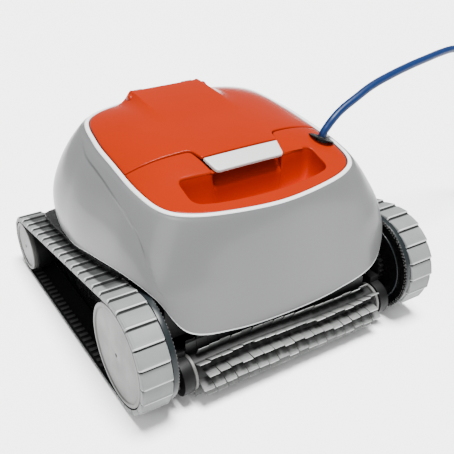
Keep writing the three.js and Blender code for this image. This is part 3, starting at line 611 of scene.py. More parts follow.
sun("top", (0.06, -0.12, 1), 24, 14)
sun("front", (-1.0, -0.7, 0.7), 50, 1.7)

world = bpy.data.worlds.new("studio")
world.use_nodes = True
world.node_tree.nodes["Background"].inputs["Color"].default_value = (1, 1, 1, 1)
world.node_tree.nodes["Background"].inputs["Strength"].default_value = 0.5
bpy.context.scene.world = world


def floor():
    half = 4000.0 * MM
    mesh = bpy.data.meshes.new("studio_floor")
    corners = [(-half, -half, 0), (half, -half, 0), (half, half, 0), (-half, half, 0)]
    mesh.from_pydata(corners, [], [(0, 1, 2, 3)])
    obj = link(bpy.data.objects.new("studio_floor", mesh))
    obj.location.z = -0.5 * MM
    s = Shader("studio_paper", 0.9, specular=0.1)
    s.color(s.mix(s.noise(3, 2), (0.93, 0.93, 0.93), (0.95, 0.95, 0.95)))
    mesh.materials.append(s.material)


floor()


# ---- Cable ----
def along_gland(distance):
    lean = GLAND["lean"]
    return (GLAND["x"] + math.sin(lean) * distance, GLAND["y"], GLAND["z"] + math.cos(lean) * distance)


# The route of the lead from the gland over to the coil's edge, as in the CAD model.
LEAD = [along_gland(GLAND["top"] + 0.3), along_gland(9),
        (124, -70, 226.5), (133, -68.5, 233.5), (148, -65, 241), (173, -61, 250), (204, -55, 259),
        (242, -49, 265.5), (281, -42, 269.5), (320, -35, 272), (352, -29, 273.5), (384, -23, 272.5),
        (414, -17, 265), (441, -12, 249), (462, -8, 225), (478, -5, 195), (490, -2, 160), (499, 1, 122),
        (508, 2.5, 84), (521, 3, 49), (541, 1.5, 22), (566, 0.3, 8), (590, 0.3, 5.6)]


def coil_route():
    """Turns wound layer on layer, from the outside in and then from the inside out."""
    pitch = 2 * CABLE_RADIUS + 0.15
    outer = COIL["outer"] - CABLE_RADIUS - 0.3
    inner = COIL["inner"] + CABLE_RADIUS + 0.3
    turns_per_layer = (outer - inner) / pitch + 0.35
    climb = 0.045
    per_turn = 24
    points = []
    turned = 0.0
    for layer in range(COIL["layers"]):
        steps = int(round(turns_per_layer * per_turn))
        for i in range(steps):
            share = i / steps
            radius = outer + (inner - outer) * (share if layer % 2 == 0 else 1 - share)
            lift = float(smooth((share - 1 + climb) / climb)) if layer < COIL["layers"] - 1 else 0.0
            z = CABLE_RADIUS + 0.4 + pitch * (layer + lift)
            angle = math.pi / 2 - TAU * (turned + share * turns_per_layer)
            points.append((COIL["x"] + radius * math.cos(angle), COIL["y"] + radius * math.sin(angle), z))
        turned += turns_per_layer
    return points


def cable():
    coil = coil_route()
    route = [*LEAD, *coil[3:]]
    tail_start = np.array(coil[-1])
    along = tail_start - np.array(coil[-2])
    along[2] = 0
    along /= np.linalg.norm(along)
    plug_low, plug_high = (np.array(v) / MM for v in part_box("cable_plug"))
    plug_end = np.array([plug_low[0] - 0.5, *(plug_low + plug_high)[1:] / 2])
    reach = plug_end - tail_start
    handle = 0.45 * np.linalg.norm(reach[:2])
    for i in range(1, 9):
        u = i / 8
        bend = [tail_start, tail_start + along * handle, plug_end - np.array([handle, 0, 0]), plug_end]
        weights = [(1 - u) ** 3, 3 * u * (1 - u) ** 2, 3 * u * u * (1 - u), u**3]
        route.append(tuple(sum(w * b for w, b in zip(weights, bend))))
    curve = bpy.data.curves.new("cable", "CURVE")
    curve.dimensions = "3D"
    curve.bevel_depth = CABLE_RADIUS * MM
    curve.bevel_resolution = 4
    curve.resolution_u = 4
    curve.use_fill_caps = True
    spline = curve.splines.new("BEZIER")
    spline.bezier_points.add(len(route) - 1)
    for point, where in zip(spline.bezier_points, route):
        point.co = Vector(where) * MM
        point.handle_left_type = point.handle_right_type = "AUTO"
    curve.materials.append(JACKET)
    obj = link(bpy.data.objects.new("cable", curve))
    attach(obj, "machine")
    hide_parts("cable_lead", "cable_coil")
    return obj


CABLE = cable()


# ---- Shell ----
RIM = [(0, -150), (55, -144), (98, -132), (121, -112), (129, -72),
       (129, -20), (126, 38), (112, 92), (66, 114), (0, 118)]
RIM_BEND = {"y": -28.0, "z": 216.1, "slope_ahead": 0.15, "slope_behind": 0.115}
LOW = [(0, -174, 66), (70, -173, 70), (126, -171, 87), (152, -151, 126), (166, -108, 136), (174, -38, 126),
       (176, 22, 114), (166, 84, 110), (122, 126, 104), (0, 136, 100)]
COLUMNS = 288
LAND_WIDTH = 5.0
LAND_RADIUS = 2.2


def rim_height(y):
    behind = np.asarray(y, float) - RIM_BEND["y"]
    return RIM_BEND["z"] + np.where(behind < 0, RIM_BEND["slope_ahead"], RIM_BEND["slope_behind"]) * behind


RIM_LOOP = catmull_loop(both_sides([(x, y, float(rim_height(y))) for x, y in RIM]), COLUMNS)
LOW_LOOP = catmull_loop(both_sides(LOW), COLUMNS)


def crease_step(ring):
    """How far each point of a shell ring is pushed out, above and behind the crease."""
    points = ring[:, 1:]
    best, signed = np.full(len(ring), 1e9), np.zeros(len(ring))
    corners = np.array(CREASE, float)
    for a, b in zip(corners[:-1], corners[1:]):
        along = b - a
        share = np.clip((points - a) @ along / (along @ along), 0, 1)
        gap = points - (a + share[:, None] * along)
        size = np.linalg.norm(gap, axis=1)
        turn = along[0] * gap[:, 1] - along[1] * gap[:, 0]
        nearer = size < best
        best = np.where(nearer, size, best)
        signed = np.where(nearer, np.sign(turn) * size, signed)
    on_side = smooth((np.abs(ring[:, 0]) - 95) / 30)
    return CREASE_DEPTH * smooth(0.5 - signed / 3.5) * on_side * smooth((60 - best) / 45)


def pushed(ring, distance):
    out = ring.copy()
    out[:, :2] += outward(ring) * np.asarray(distance).reshape(-1, 1)
    return out


def shell_ring(share, inset=0.0):
    straight = RIM_LOOP + (LOW_LOOP - RIM_LOOP) * share
    swell = math.sin(math.pi * share) ** 0.9 if share < 1 else 0.0
    bulge = (8 + 15 * smooth((straight[:, 1] + 78) / 180)) * swell
    land = LAND_WIDTH * (1 - smooth(share / 0.5))
    return pushed(straight, bulge + land + crease_step(straight) * swell - inset)


def shell():
    """From the lid ledge up over the rounded rim, down the side and back up the inner face."""
    def rim(offset, drop):
        ring = pushed(RIM_LOOP, offset)
        ring[:, 2] -= drop
        return ring

    flat_end = LAND_WIDTH - LAND_RADIUS
    rings = [rim(-LEDGE_WIDTH, RIM_DEPTH + LEDGE_THICKNESS), rim(-LEDGE_WIDTH, RIM_DEPTH),
             rim(-0.6, RIM_DEPTH), rim(0, RIM_DEPTH - 0.6), rim(0, 1.0), rim(0.3, 0.3), rim(1.0, 0.0),
             rim(flat_end, 0.1)]
    for angle in np.linspace(0, math.pi / 2, 7)[1:6]:
        rings.append(rim(flat_end + LAND_RADIUS * math.sin(angle), 0.1 + LAND_RADIUS * (1 - math.cos(angle))))
    shares = np.concatenate([np.linspace(0.035, 0.2, 6), np.linspace(0.22, 0.975, 58)])
    rings += [shell_ring(float(s)) for s in shares]
    hem = shell_ring(1.0)
    rings += [shell_ring(0.985), pushed(hem, -0.3), pushed(hem, -1.4), pushed(shell_ring(0.99), -2.6)]
    rings += [shell_ring(float(s), SHELL_WALL) for s in np.linspace(0.95, 0.16, 10)]
    verts, faces = skin([r[::-1] for r in rings], closed_along=True)
    hem_row = 13 + len(shares)
    # The land's rows and the hem row take the pale painted highlight.
    highlight_band = [1 if 4 <= face[0] // COLUMNS < 12 or face[0] // COLUMNS == hem_row else 0 for face in faces]
    piece("shell", verts, faces, [GREY, LAND_AND_HEM_HIGHLIGHT], "machine", "shell_grey", "outer_shell", sharp=50, parts=highlight_band)


shell()


# ---- Lid ----
def lid_distance(x, y):
    return (np.abs(np.asarray(x) / 129) ** 4 + np.abs((np.asarray(y) + 16) / 134) ** 4) ** 0.25


def crown(x, y):
    return CROWN * np.maximum(1 - lid_distance(x, y) ** 3, 0)


def cover_height(x, y):
    return rim_height(y) + crown(x, y) * smooth((np.asarray(y) + 135) / 95) - 0.8


def door_height(x, y):
    x, y = np.asarray(x, float), np.asarray(y, float)
    base = rim_height(y) + crown(x, y)
    flare = np.clip(1 - (np.abs(x) - HUMP["half"]) / HUMP["flare"], 0, 1) ** 2.2
    hump = smooth((y - HUMP["start"]) / HUMP["rise"]) * flare * smooth((HUMP["rear"] + 4.5 - y) / 4.5)
    lip = HUMP["lip"] * smooth((y - HUMP["rear"] + 5) / 5) * smooth((HUMP["half"] - np.abs(x)) / 6)
    return base + (HUMP["top"] - base) * hump - 0.5 - lip


SEAM = {"half": 54.0, "y": -52.0, "slope": 0.15, "gap": 0.5}
HUMP = {"half": 48.5, "flare": 20.0, "top": 250.0, "start": 5.0, "rise": 102.0, "rear": 111.5, "lip": 1.2}
OUTLET = {"half": 26.0, "low": 235.0, "high": 244.5}
NOTCH = {"half_back": 48.8, "half_front": 45.0, "back": -73.0, "front": -86.5}
TONGUE = {"half": 49.5, "end": -68.8}
POCKET = {"half": 88.0, "front": -131.5, "corner": -119.0}
BOWL = {"narrower": 0.8, "back": -93.0, "front": -120.0}
RAMP = {"top": 209.0, "fall": 15.0, "flush": -86.5}


def lid_outline():
    return anticlockwise(pushed(RIM_LOOP, -LID_GAP)[:, :2])


def seam_y(x):
    return SEAM["y"] + SEAM["slope"] * (np.abs(x) - SEAM["half"])


def door_outline():
    """The lid's edge behind the seam, closed in front by the seam and the tongue."""
    ring = lid_outline()
    behind = ring[ring[:, 1] > seam_y(ring[:, 0]) + SEAM["gap"]]
    start = int(np.argmin(np.where(behind[:, 0] > 0, behind[:, 1], 1e9)))
    behind = np.roll(behind, -start, axis=0)
    gap = SEAM["gap"]
    left, right = behind[-1], behind[0]
    tongue = [(-SEAM["half"], SEAM["y"] + gap), (-TONGUE["half"], TONGUE["end"]),
              (TONGUE["half"], TONGUE["end"]), (SEAM["half"], SEAM["y"] + gap)]
    corners = [left, (left[0] + 0.2, seam_y(left[0]) + gap), *tongue,
               (right[0] - 0.2, seam_y(right[0]) + gap), right]
    front = rounded(corners, [0, 2, 6, 1.5, 1.5, 6, 2, 0], closed=False)
    loop = resample(np.concatenate([behind, front[1:-1]]), 2.0)
    rear_limit = HUMP["rear"] + 6 * smooth((np.abs(loop[:, 0]) - HUMP["half"]) / 1.5)
    loop[:, 1] = np.minimum(loop[:, 1], rear_limit)
    return loop


def pocket_outline(grow=0.0):
    """The finger recess: its front follows the rim, and behind it runs back under the handle."""
    wide, back, middle = POCKET["half"] + grow, NOTCH["back"] + grow, NOTCH["front"] + grow
    corner = POCKET["corner"] - grow
    front = [(x, POCKET["front"] + 6.5 * (x / 69) ** 2 - grow) for x in (-66, -44, -22, 0, 22, 44, 66)]
    right = [(NOTCH["half_back"] + grow, back), (NOTCH["half_front"] + grow, middle), (wide, middle + 4.5),
             (wide, corner)]
    corners = [*right, *reversed(front), *((-x, y) for x, y in reversed(right))]
    radii = [3, 4, 9, 16, *[8] * len(front), 16, 9, 4, 3]
    return anticlockwise(resample(rounded(corners, radii, steps=7), 2.0))


def cover_outline():
    """The lid's edge in front of the seam, notched for the tongue and the finger recess."""
    ring = lid_outline()
    front = ring[ring[:, 1] < seam_y(ring[:, 0]) - SEAM["gap"]]
    start = int(np.argmax(np.where(front[:, 0] < 0, front[:, 1], -1e9)))
    front = np.roll(front, -start, axis=0)
    gap = SEAM["gap"]
    right = front[-1]
    pocket = pocket_outline()
    in_front = pocket[:, 1] < NOTCH["front"] - 0.5
    rim_part = pocket[in_front | (np.abs(pocket[:, 0]) > NOTCH["half_front"] + 6)]
    first = int(np.argmax(np.where(rim_part[:, 0] > 0, rim_part[:, 1] - 0.01 * rim_part[:, 0], -1e9)))
    rim_part = np.roll(rim_part, -first, axis=0)
    if rim_part[5, 0] < rim_part[0, 0]:
        rim_part = np.roll(rim_part[::-1], 1, axis=0)
    corners = [right, (right[0] - 0.2, seam_y(right[0]) - gap), (SEAM["half"] + 1, SEAM["y"] - gap),
               (50.6, -66.0), (NOTCH["half_front"] + 0.5, NOTCH["front"]), tuple(rim_part[0])]
    right_side = rounded(corners, [0, 2, 5, 2, 3, 0], closed=False)
    left_side = right_side[::-1] * (-1, 1)
    return resample(np.concatenate([front, right_side[1:-1], rim_part, left_side[1:-1]]), 2.0)


def front_cover():
    body = plate(cover_outline(), cover_height, LID_SHEET, 1.6, 3.5)
    piece("cover_top", *body, ORANGE, "machine", "lid_orange", "front_cover")


def pocket():
    """The bowl of the finger recess, and the ramp that leads down into it from under the handle."""
    loop = pocket_outline(-0.08)
    x, y = loop[:, 0], loop[:, 1]
    behind = (y > NOTCH["front"] + 1) & (np.abs(x) < NOTCH["half_back"] - 2)
    drop = np.where(y > NOTCH["front"] - 1.5, 2.8, 1.5)
    top = np.where(behind, 211.0, cover_height(x, y) - drop)
    in_notch = (np.abs(x) < NOTCH["half_back"]) & (y > RAMP["flush"])
    ahead = (RAMP["flush"] - y) / (RAMP["flush"] - y.min())
    base_y = BOWL["back"] + (BOWL["front"] - BOWL["back"]) * np.where(ahead > 0, ahead, 0.1 * ahead)

    def level(share):
        """A ring at a share of the depth; the walls curve over into the floor."""
        z = top + (POCKET_FLOOR - top) * share
        sunk = 0.97 * smooth((RAMP["top"] - z) / RAMP["fall"])
        wall_y = np.where(in_notch, y + (RAMP["flush"] - y) * sunk, y)
        curve = 1 - math.sqrt(max(1 - share**2, 0))
        narrowed = x * (1 - (1 - BOWL["narrower"]) * curve)
        return np.column_stack([narrowed, wall_y + (base_y - wall_y) * curve, z])

    shares = (0, 0.08, 0.16, 0.24, 0.32, 0.4, 0.5, 0.6, 0.7, 0.8, 0.88, 0.94, 0.98, 1.0)
    wall, wall_faces = skin([level(share) for share in shares])
    base = [wall[-len(loop):, :2]]
    made, triangles, _ = triangulate(base, inner_points(base, 6.0, ()))
    bottom = np.column_stack([made, np.full(len(made), POCKET_FLOOR)])
    body = merge((wall, [tuple(reversed(f)) for f in wall_faces]), (bottom, triangles))
    piece("finger_pocket", *body, RECESS_BOUNCE, "machine", "lid_orange", sharp=50)


def top_door():
    fine = [(-70, 70, 60, 118, 1.5), (-68, -44, 0, 60, 2.0), (44, 68, 0, 60, 2.0)]
    body = plate(door_outline(), door_height, LID_SHEET, 1.4, 4.0, fine)
    piece("door_top", *body, ORANGE, "door", "lid_orange", "top_door")


def slab(outline, holes, thickness, edge, spacing):
    """A flat plate in the XZ plane with its rounded face toward +Y at y = 0."""
    verts, faces = plate(outline, lambda x, y: 0 * np.asarray(x), thickness, edge, spacing, holes=holes)
    return np.column_stack([-verts[:, 0], verts[:, 2], verts[:, 1]]), faces


def outlet_wall():
    """The upright wall under the rear edge of the hump, with the window of the water outlet."""
    half, low, high, taper = HUMP["half"] - 1, 231.5, 247.0, 1.5
    corners = [(-half, low), (half, low), (half - taper, high), (-half + taper, high)]
    outline = resample(rounded(corners, 2.5), 2.0)
    half, low, high = OUTLET["half"], OUTLET["low"], OUTLET["high"]
    window = resample(rounded([(-half, low), (half, low), (half, high), (-half, high)], 2.0), 1.5)
    verts, faces = slab(outline, [window], 3.0, 0.8, 3.0)
    piece("outlet_wall", verts + (0, HUMP["rear"] - 1.2, 0), faces, ORANGE, "door", "lid_orange")


def hinge_tab(x0, x1, leg_end, half_leg):
    """A barrel on the hinge line with a straight leg to leg_end = (y, z), its edges rounded."""
    centre, end = np.array([HINGE_Y, HINGE_Z]), np.array(leg_end, float)
    along = (end - centre) / np.linalg.norm(end - centre)
    across = np.array([-along[1], along[0]])
    lead = math.asin(half_leg / HINGE_BARREL)
    angles = math.atan2(along[1], along[0]) + np.linspace(lead, TAU - lead, 33)
    shape = [centre + HINGE_BARREL * np.array([math.cos(a), math.sin(a)]) for a in angles]
    shape = np.array([*shape, end - across * half_leg, end + across * half_leg])
    middle = (centre + end) / 2
    rings = []
    for x, inset in ((x0, 0.5), (x0 + 0.15, 0.15), (x0 + 0.5, 0),
                     (x1 - 0.5, 0), (x1 - 0.15, 0.15), (x1, 0.5)):
        ring = middle + (shape - middle) * (1 - inset / HINGE_BARREL)
        rings.append(np.column_stack([np.full(len(ring), x), ring]))
    return skin(rings, first_cap=True, last_cap=True)


def hinge():
    """Two pairs of ears on the shell, and between each pair a knuckle of the door."""
    ears = []
    for x0, x1 in ((29, 32.5), (40.5, 44)):
        ear = hinge_tab(x0, x1, (HINGE_Y + 3.8, HINGE_Z - 14), 1.7)
        ears += [ear, mirror_x(ear)]
    knuckle = hinge_tab(33.1, 39.9, (HINGE_Y - 9.5, HINGE_Z), 2.4)
    piece("hinge_ears", *merge(*ears), GREY, "machine", "shell_grey")
    piece("hinge_knuckles", *merge(knuckle, mirror_x(knuckle)), ORANGE, "door", "lid_orange")


def hump_boss(side):
    """The domed cap of the hinge pin where it shows in the flared side of the hump."""
    profile = rounded([(0.01, 44), (6.5, 44), (6.5, 55.5), (0.01, 57)], [0, 0, 3, 0], steps=8)
    body = lathe_x(profile, (HINGE_Y - 15, HINGE_Z - 1.5), steps=64, side=side)
    piece(f"hinge_boss_{SIDE_NAMES[side]}", *body, ORANGE, "door", "lid_orange")


def handle():
    """The paddle: a rounded plate, tilted, with a lug under its back edge."""
    outline = resample(rounded([(-48.6, 1), (-43.8, -22), (43.8, -22), (48.6, 1)], [1.2, 5, 5, 1.2]), 1.5)
    top = plate(outline, lambda x, y: 6.0 - 0.00025 * np.asarray(x) ** 2 + 0 * np.asarray(y), 3.6, 1.3, 3.0)
    lug_outline = resample(rounded([(-40.5, -3), (40.5, -3), (40.5, 2), (-40.5, 2)], 1.0), 1.5)
    lug = plate(lug_outline, lambda x, y: 2.2 + 0 * np.asarray(x), 4.7, 0.4, 4.0)
    verts, faces = merge(top, lug)
    cos, sin = math.cos(LATCH_TILT), math.sin(LATCH_TILT)
    y, z = verts[:, 1] * cos - verts[:, 2] * sin, verts[:, 1] * sin + verts[:, 2] * cos
    verts = np.column_stack([verts[:, 0], LATCH_Y + y, LATCH_Z + z])
    piece("paddle", verts, faces, PALE, "handle", "handle_grey", "latch_handle")


front_cover()
pocket()
top_door()
outlet_wall()
hinge()
handle()
for side in (-1, 1):
    hump_boss(side)


# ---- Tracks ----
class Loop:
    """The track's path in the YZ plane, from the top of the front wheel forward, at an offset."""

    def __init__(self, offset):
        slope = 2 * math.asin((FRONT_AXLE[1] - REAR_AXLE[1]) / math.dist(FRONT_AXLE, REAR_AXLE))
        front = {"centre": FRONT_AXLE, "radius": FRONT_AXLE[1] + offset, "from": math.pi / 2 - slope,
                 "sweep": math.pi + slope}
        rear = {"centre": REAR_AXLE, "radius": REAR_AXLE[1] + offset, "from": -math.pi / 2,
                "sweep": math.pi - slope}
        self.arcs = [front, rear]
        self.runs = []
        for k, arc in enumerate(self.arcs):
            angle = arc["from"] + arc["sweep"]
            start, end = self.on(arc, angle), self.on(self.arcs[1 - k], self.arcs[1 - k]["from"])
            self.runs.append((start, end, angle))
        self.lengths = []
        for arc, (start, end, _) in zip(self.arcs, self.runs):
            self.lengths += [arc["radius"] * arc["sweep"], math.dist(start, end)]
        self.total = sum(self.lengths)

    @staticmethod
    def on(arc, angle):
        (y, z), radius = arc["centre"], arc["radius"]
        return (y + radius * math.cos(angle), z + radius * math.sin(angle))

    def at(self, share):
        """(y, z) and the outward direction at a share of the way round."""
        left = (share % 1.0) * self.total
        part = 0
        while left > self.lengths[part] and part < 3:
            left -= self.lengths[part]
            part += 1
        arc, (start, end, angle) = self.arcs[part // 2], self.runs[part // 2]
        u = left / self.lengths[part]
        if part % 2 == 0:
            angle = arc["from"] + arc["sweep"] * u
            point = self.on(arc, angle)
        else:
            point = (start[0] + (end[0] - start[0]) * u, start[1] + (end[1] - start[1]) * u)
        return point, (math.cos(angle), math.sin(angle))


# Height of the tread over the belt along one pitch: a raised rib, a step down, then a rising panel.
TREAD_PROFILE = [(0.0, 2.75), (0.015, 3.1), (0.03, 3.2), (0.075, 3.2), (0.09, 3.1), (0.1, 2.7), (0.115, 0.7),
                 (0.13, 0.1), (0.185, 0.1), (0.2, 0.5), (0.22, 0.8), (0.35, 1.0), (0.55, 1.35), (0.75, 1.75),
                 (0.9, 2.1), (0.965, 2.3), (0.985, 2.5)]
RIB_TOP = (0.015, 0.1)
GROOVE_SPAN = (0.1, 0.2)
SCALLOP = {"depth": 2.8, "middle": 0.16, "reach": 0.13}
TOOTH_EDGES = (0.245, 0.255, 0.495, 0.505, 0.745, 0.755, 0.995)
EDGE_SHAPE = [(0.0, 0.0), (0.2, 0.6), (0.8, 0.95), (1.8, 1.0), (2.6, 1.0), (3.4, 1.0), (4.4, 1.0)]
ACROSS = [*EDGE_SHAPE, (TRACK_WIDTH / 2, 1.0), *((TRACK_WIDTH - x, h) for x, h in reversed(EDGE_SHAPE))]
TOOTH_BAND = (TRACK_WIDTH - 14, TRACK_WIDTH - 3.5)
TOOTH_DEPTH = 1.8
PANEL_LIP = 0.5


def tread_height(offset, inset):
    """The tread at a share of the pitch, inset from the nearer edge of the belt, where a low lip runs."""
    height = float(np.interp(offset, *zip(*[*TREAD_PROFILE, (1.0, TREAD_PROFILE[0][1])])))
    if offset < GROOVE_SPAN[1]:
        return height
    lip = PANEL_LIP * float(smooth((2.8 - inset) / 0.8)) * float(smooth((offset - 0.2) / 0.1))
    return height + lip


def track(side):
    """One belt: ribs and panels outside, closed before the edges, and a row of low teeth inside."""
    path = Loop(-PAD_HEIGHT)
    offsets = sorted({*(u for u, _ in TREAD_PROFILE), *TOOTH_EDGES})
    inside_x = [TRACK_WIDTH, TRACK_WIDTH - 0.01, TOOTH_BAND[1] + 0.01, TOOTH_BAND[1], TOOTH_BAND[0],
                TOOTH_BAND[0] - 0.01, 0.01, 0]
    rings, kinds = [], []
    for pad in range(PAD_COUNT):
        for offset in offsets:
            on_tooth = (2 * offset) % 1.0 < 0.5
            floor = -BELT + (0 if on_tooth else TOOTH_DEPTH)
            cut = SCALLOP["depth"] * float(smooth(1 - abs(offset - SCALLOP["middle"]) / SCALLOP["reach"]))
            narrowed = 1 - 2 * cut / TRACK_WIDTH
            section = [(cut + x * narrowed, tread_height(offset, min(x, TRACK_WIDTH - x)) * share)
                       for x, share in ACROSS]
            section[0], section[-1] = (0, 0), (TRACK_WIDTH, 0)
            between = -BELT + TOOTH_DEPTH
            section += zip(inside_x, [-BELT, -BELT, between, floor, floor, between, between, -BELT])
            (y, z), (out_y, out_z) = path.at((pad + offset) / PAD_COUNT)
            rings.append([(TRACK_INNER + x, y + out_y * h, z + out_z * h) for x, h in section])
            kinds.append((offset, on_tooth))
    verts, faces = skin(rings, closed_along=True)
    count = len(ACROSS) + len(inside_x)
    parts = []
    for face in faces:
        column = face[0] % count
        offset, on_tooth = kinds[face[0] // count]
        # The inside faces and tooth tops take the painted shade of the belt's inside.
        if column >= len(ACROSS) + 1:
            parts.append(3 if on_tooth and column == len(ACROSS) + 3 else 2)
        # Rib tops take the painted highlight.
        elif offset < RIB_TOP[1] and column < len(ACROSS) - 1:
            parts.append(4 if offset >= RIB_TOP[0] else 0)
        # Groove faces and the step into them take the painted groove shade.
        elif GROOVE_SPAN[0] <= offset < GROOVE_SPAN[1]:
            parts.append(1)
        else:
            parts.append(0)
    name = SIDE_NAMES[side]
    piece(f"belt_{name}", *on_side(side, (verts, faces)), [TREAD, PAINTED_GROOVE_SHADE, BELT_INSIDE_SHADE, TOOTH_SHADE, RIB_HIGHLIGHT], "machine",
          "track_rubber", f"track_{name}", sharp=30, parts=parts)


def wheel(side, axle, radius, bore, place, flange):
    """A pulley with a deep rim; the front one carries the toothed flange on its inner side."""
    back, web, face = TRACK_INNER + 1, TRACK_INNER + 6, 189.0
    ring = []
    if flange:
        ring = [(FLANGE["inner"], back), (FLANGE["inner"], FLANGE["x0"]), (FLANGE["outer"], FLANGE["x0"]),
                (FLANGE["outer"], TRACK_INNER - 0.6), (FLANGE["inner"] + 4, TRACK_INNER - 0.6),
                (FLANGE["inner"] + 4, back)]
    profile = [(bore, back), *ring, (radius, back), (radius, face), (radius - 5, face), (radius - 5, web),
               (bore + 7, web), (bore + 7, face - 1), (bore, face - 1)]
    body = lathe_x(rounded(profile, 0.8, steps=3), axle, side=side)
    name = SIDE_NAMES[side]
    piece(f"{place}_pulley_{name}", *body, SLATE if flange else BLACK, f"{place}_wheels_{name}",
          "black_plastic", f"{place}_wheel_{name}")


DISC_GAP = 0.9


def disc(side, axle, radius, place):
    """The dished wheel cover: a raised ring, a fine groove, a shallow field and a dimple."""
    back, face = 189.3, HALF_WIDTH
    radius -= DISC_GAP
    edge = [(0, 0.6), (0.6, 0.1), (1.2, 0), (3.4, 0), (4.0, 0.2), (4.6, 1.5), (5.4, 1.7), (6.4, 1.2)]
    field = [(radius * 0.6, 0.9), (radius * 0.25, 0.8), (3.0, 0.8), (2.4, 1.0), (1.6, 2.2), (0.01, 2.5)]
    profile = [(0.01, back), (radius, back), *((radius - inset, face - depth) for inset, depth in edge),
               *((r, face - depth) for r, depth in field)]
    body = lathe_x(rounded(profile, 0.3, steps=2), axle, side=side)
    name = SIDE_NAMES[side]
    piece(f"{place}_cover_disc_{name}", *body, DISC, f"{place}_wheels_{name}", "disc_grey",
          f"{place}_disc_{name}")


def flange_teeth(side):
    """Rows of small uneven pegs over the inner face of the front wheel's flange and round its edge."""
    generator = np.random.default_rng(3)
    bodies = []
    count = 96
    for radius, shift in ((FLANGE["outer"] - 1.2, 0.0), (FLANGE["outer"] - 3.2, 0.5)):
        for k in range(count):
            angle = (k + shift + generator.uniform(-0.2, 0.2)) / count * TAU
            bodies.append(peg(radius, angle, generator.uniform(0.6, 1.0)))
    name = SIDE_NAMES[side]
    piece(f"flange_pegs_{name}", *on_side(side, merge(*bodies)), PEG, f"front_wheels_{name}", "track_rubber")


def out_and_along(angle):
    """The unit directions away from an axis along X, and round it."""
    cos, sin = math.cos(angle), math.sin(angle)
    return np.array([0, cos, sin]), np.array([0, -sin, cos])


def peg(radius, angle, scale):
    """One small rounded peg standing on the flange's inner face."""
    base, top = FLANGE["x0"] + 0.1, FLANGE["x0"] - 0.8
    out, along = out_and_along(angle)
    centre = np.array([0, *FRONT_AXLE]) + out * radius
    rings = []
    for x, size in ((base, 1.2 * scale), (top + 0.3, 1.05 * scale), (top, 0.7 * scale)):
        corners = [(1, 0.6), (0.6, 1), (-0.6, 1), (-1, 0.6), (-1, -0.6), (-0.6, -1), (0.6, -1), (1, -0.6)]
        rings.append([centre + out * a * size + along * b * size + np.array([x, 0, 0]) for a, b in corners])
    return skin(rings, last_cap=True)


def bearing_rim(side):
    """The thin raised lip round the front bearing plate of a side frame."""
    base = 151.2
    profile = rounded([(48.6, base), (49.0, base - 0.7), (50.2, base - 0.7), (50.6, base)], 0.3, steps=3)
    body = lathe_x(profile, FRONT_AXLE, steps=128, side=side)
    piece(f"bearing_rim_{SIDE_NAMES[side]}", *body, SLATE, "machine", "black_gloss")


for side in (-1, 1):
    bearing_rim(side)
    track(side)
    front_radius = FRONT_AXLE[1] - PAD_HEIGHT - BELT - 0.4
    rear_radius = REAR_AXLE[1] - PAD_HEIGHT - BELT - 0.4
    wheel(side, FRONT_AXLE, front_radius, 6.3, "front", True)
    wheel(side, REAR_AXLE, rear_radius, 5.3, "rear", False)
    disc(side, FRONT_AXLE, front_radius, "front")
    disc(side, REAR_AXLE, rear_radius, "rear")
    flange_teeth(side)

# ---- Brush ----
FLAP_ROWS = 12
FLAPS_PER_ROW = 18
FLAP = {"root": 17.0, "tip": 29.9, "thickness": 1.1, "lean": 8.4}


def flap(x0, x1, angle, lean):
    """One flap: rooted on the sleeve and bent back toward its tip."""
    rings = []
    for share in (0.0, 0.5, 0.93, 1.0):
        radius = FLAP["root"] + (FLAP["tip"] - FLAP["root"]) * share
        sweep = lean * share
        half = FLAP["thickness"] / 2 * (1.25 - 0.45 * share) * (0.6 if share == 1.0 else 1.0)
        inset = 0.0 if share < 0.9 else 0.5 * (share - 0.9) / 0.1
        rings.append([(x0 + inset, radius, sweep - half), (x1 - inset, radius, sweep - half),
                      (x1 - inset, radius, sweep + half), (x0 + inset, radius, sweep + half)])
    verts, faces = skin(rings, last_cap=True)
    out, along = out_and_along(angle)
    placed = np.array([[v[0], BRUSH_Y, BRUSH_Z] + out * v[1] + along * v[2] for v in verts])
    return placed, faces


def brush():
    generator = np.random.default_rng(7)
    bodies = []
    pitch = 2 * BRUSH_HALF / FLAPS_PER_ROW
    for row in range(FLAP_ROWS):
        stagger = 0.5 * pitch if row % 2 else 0.0
        start = -BRUSH_HALF + stagger
        count = FLAPS_PER_ROW - (1 if row % 2 else 0)
        for k in range(count):
            x0 = start + k * pitch
            middle = x0 + pitch / 2
            angle = (row / FLAP_ROWS + 0.015 * math.sin(middle / 40)) * TAU
            lean = FLAP["lean"] + generator.uniform(-2.0, 0.2)
            bodies.append(flap(x0 + 0.35, x0 + pitch - 0.35, angle, lean))
    section = [(14.3, -BRUSH_HALF), (17.6, -BRUSH_HALF), (17.6, BRUSH_HALF), (14.3, BRUSH_HALF)]
    sleeve = lathe_x(rounded(section, 0.4, 2), (BRUSH_Y, BRUSH_Z), steps=48)
    piece("flap_brush", *merge(sleeve, *bodies), FLAP_RUBBER, "brush", "brush_rubber", "brush_sleeve")


def brush_end(side):
    """The end cap: a thin rim round a dark dished face."""
    base = BRUSH_HALF + 0.3
    rim = BRUSH_CAP
    shape = [(0.01, 0), (rim - 0.6, 0), (rim, 0.5), (rim, 3.0), (rim - 0.6, 3.6), (rim - 2.2, 3.6),
             (rim - 2.9, 2.4), (10, 2.2), (6, 3.4)]
    profile = [*((radius, base + height) for radius, height in shape), (6, 150.6), (0.01, 151)]
    body = lathe_x(profile, (BRUSH_Y, BRUSH_Z), steps=72, side=side)
    name = SIDE_NAMES[side]
    piece(f"brush_cap_{name}", *body, RING, "brush", "disc_grey", f"brush_end_{name}")


brush()
for side in (-1, 1):
    brush_end(side)


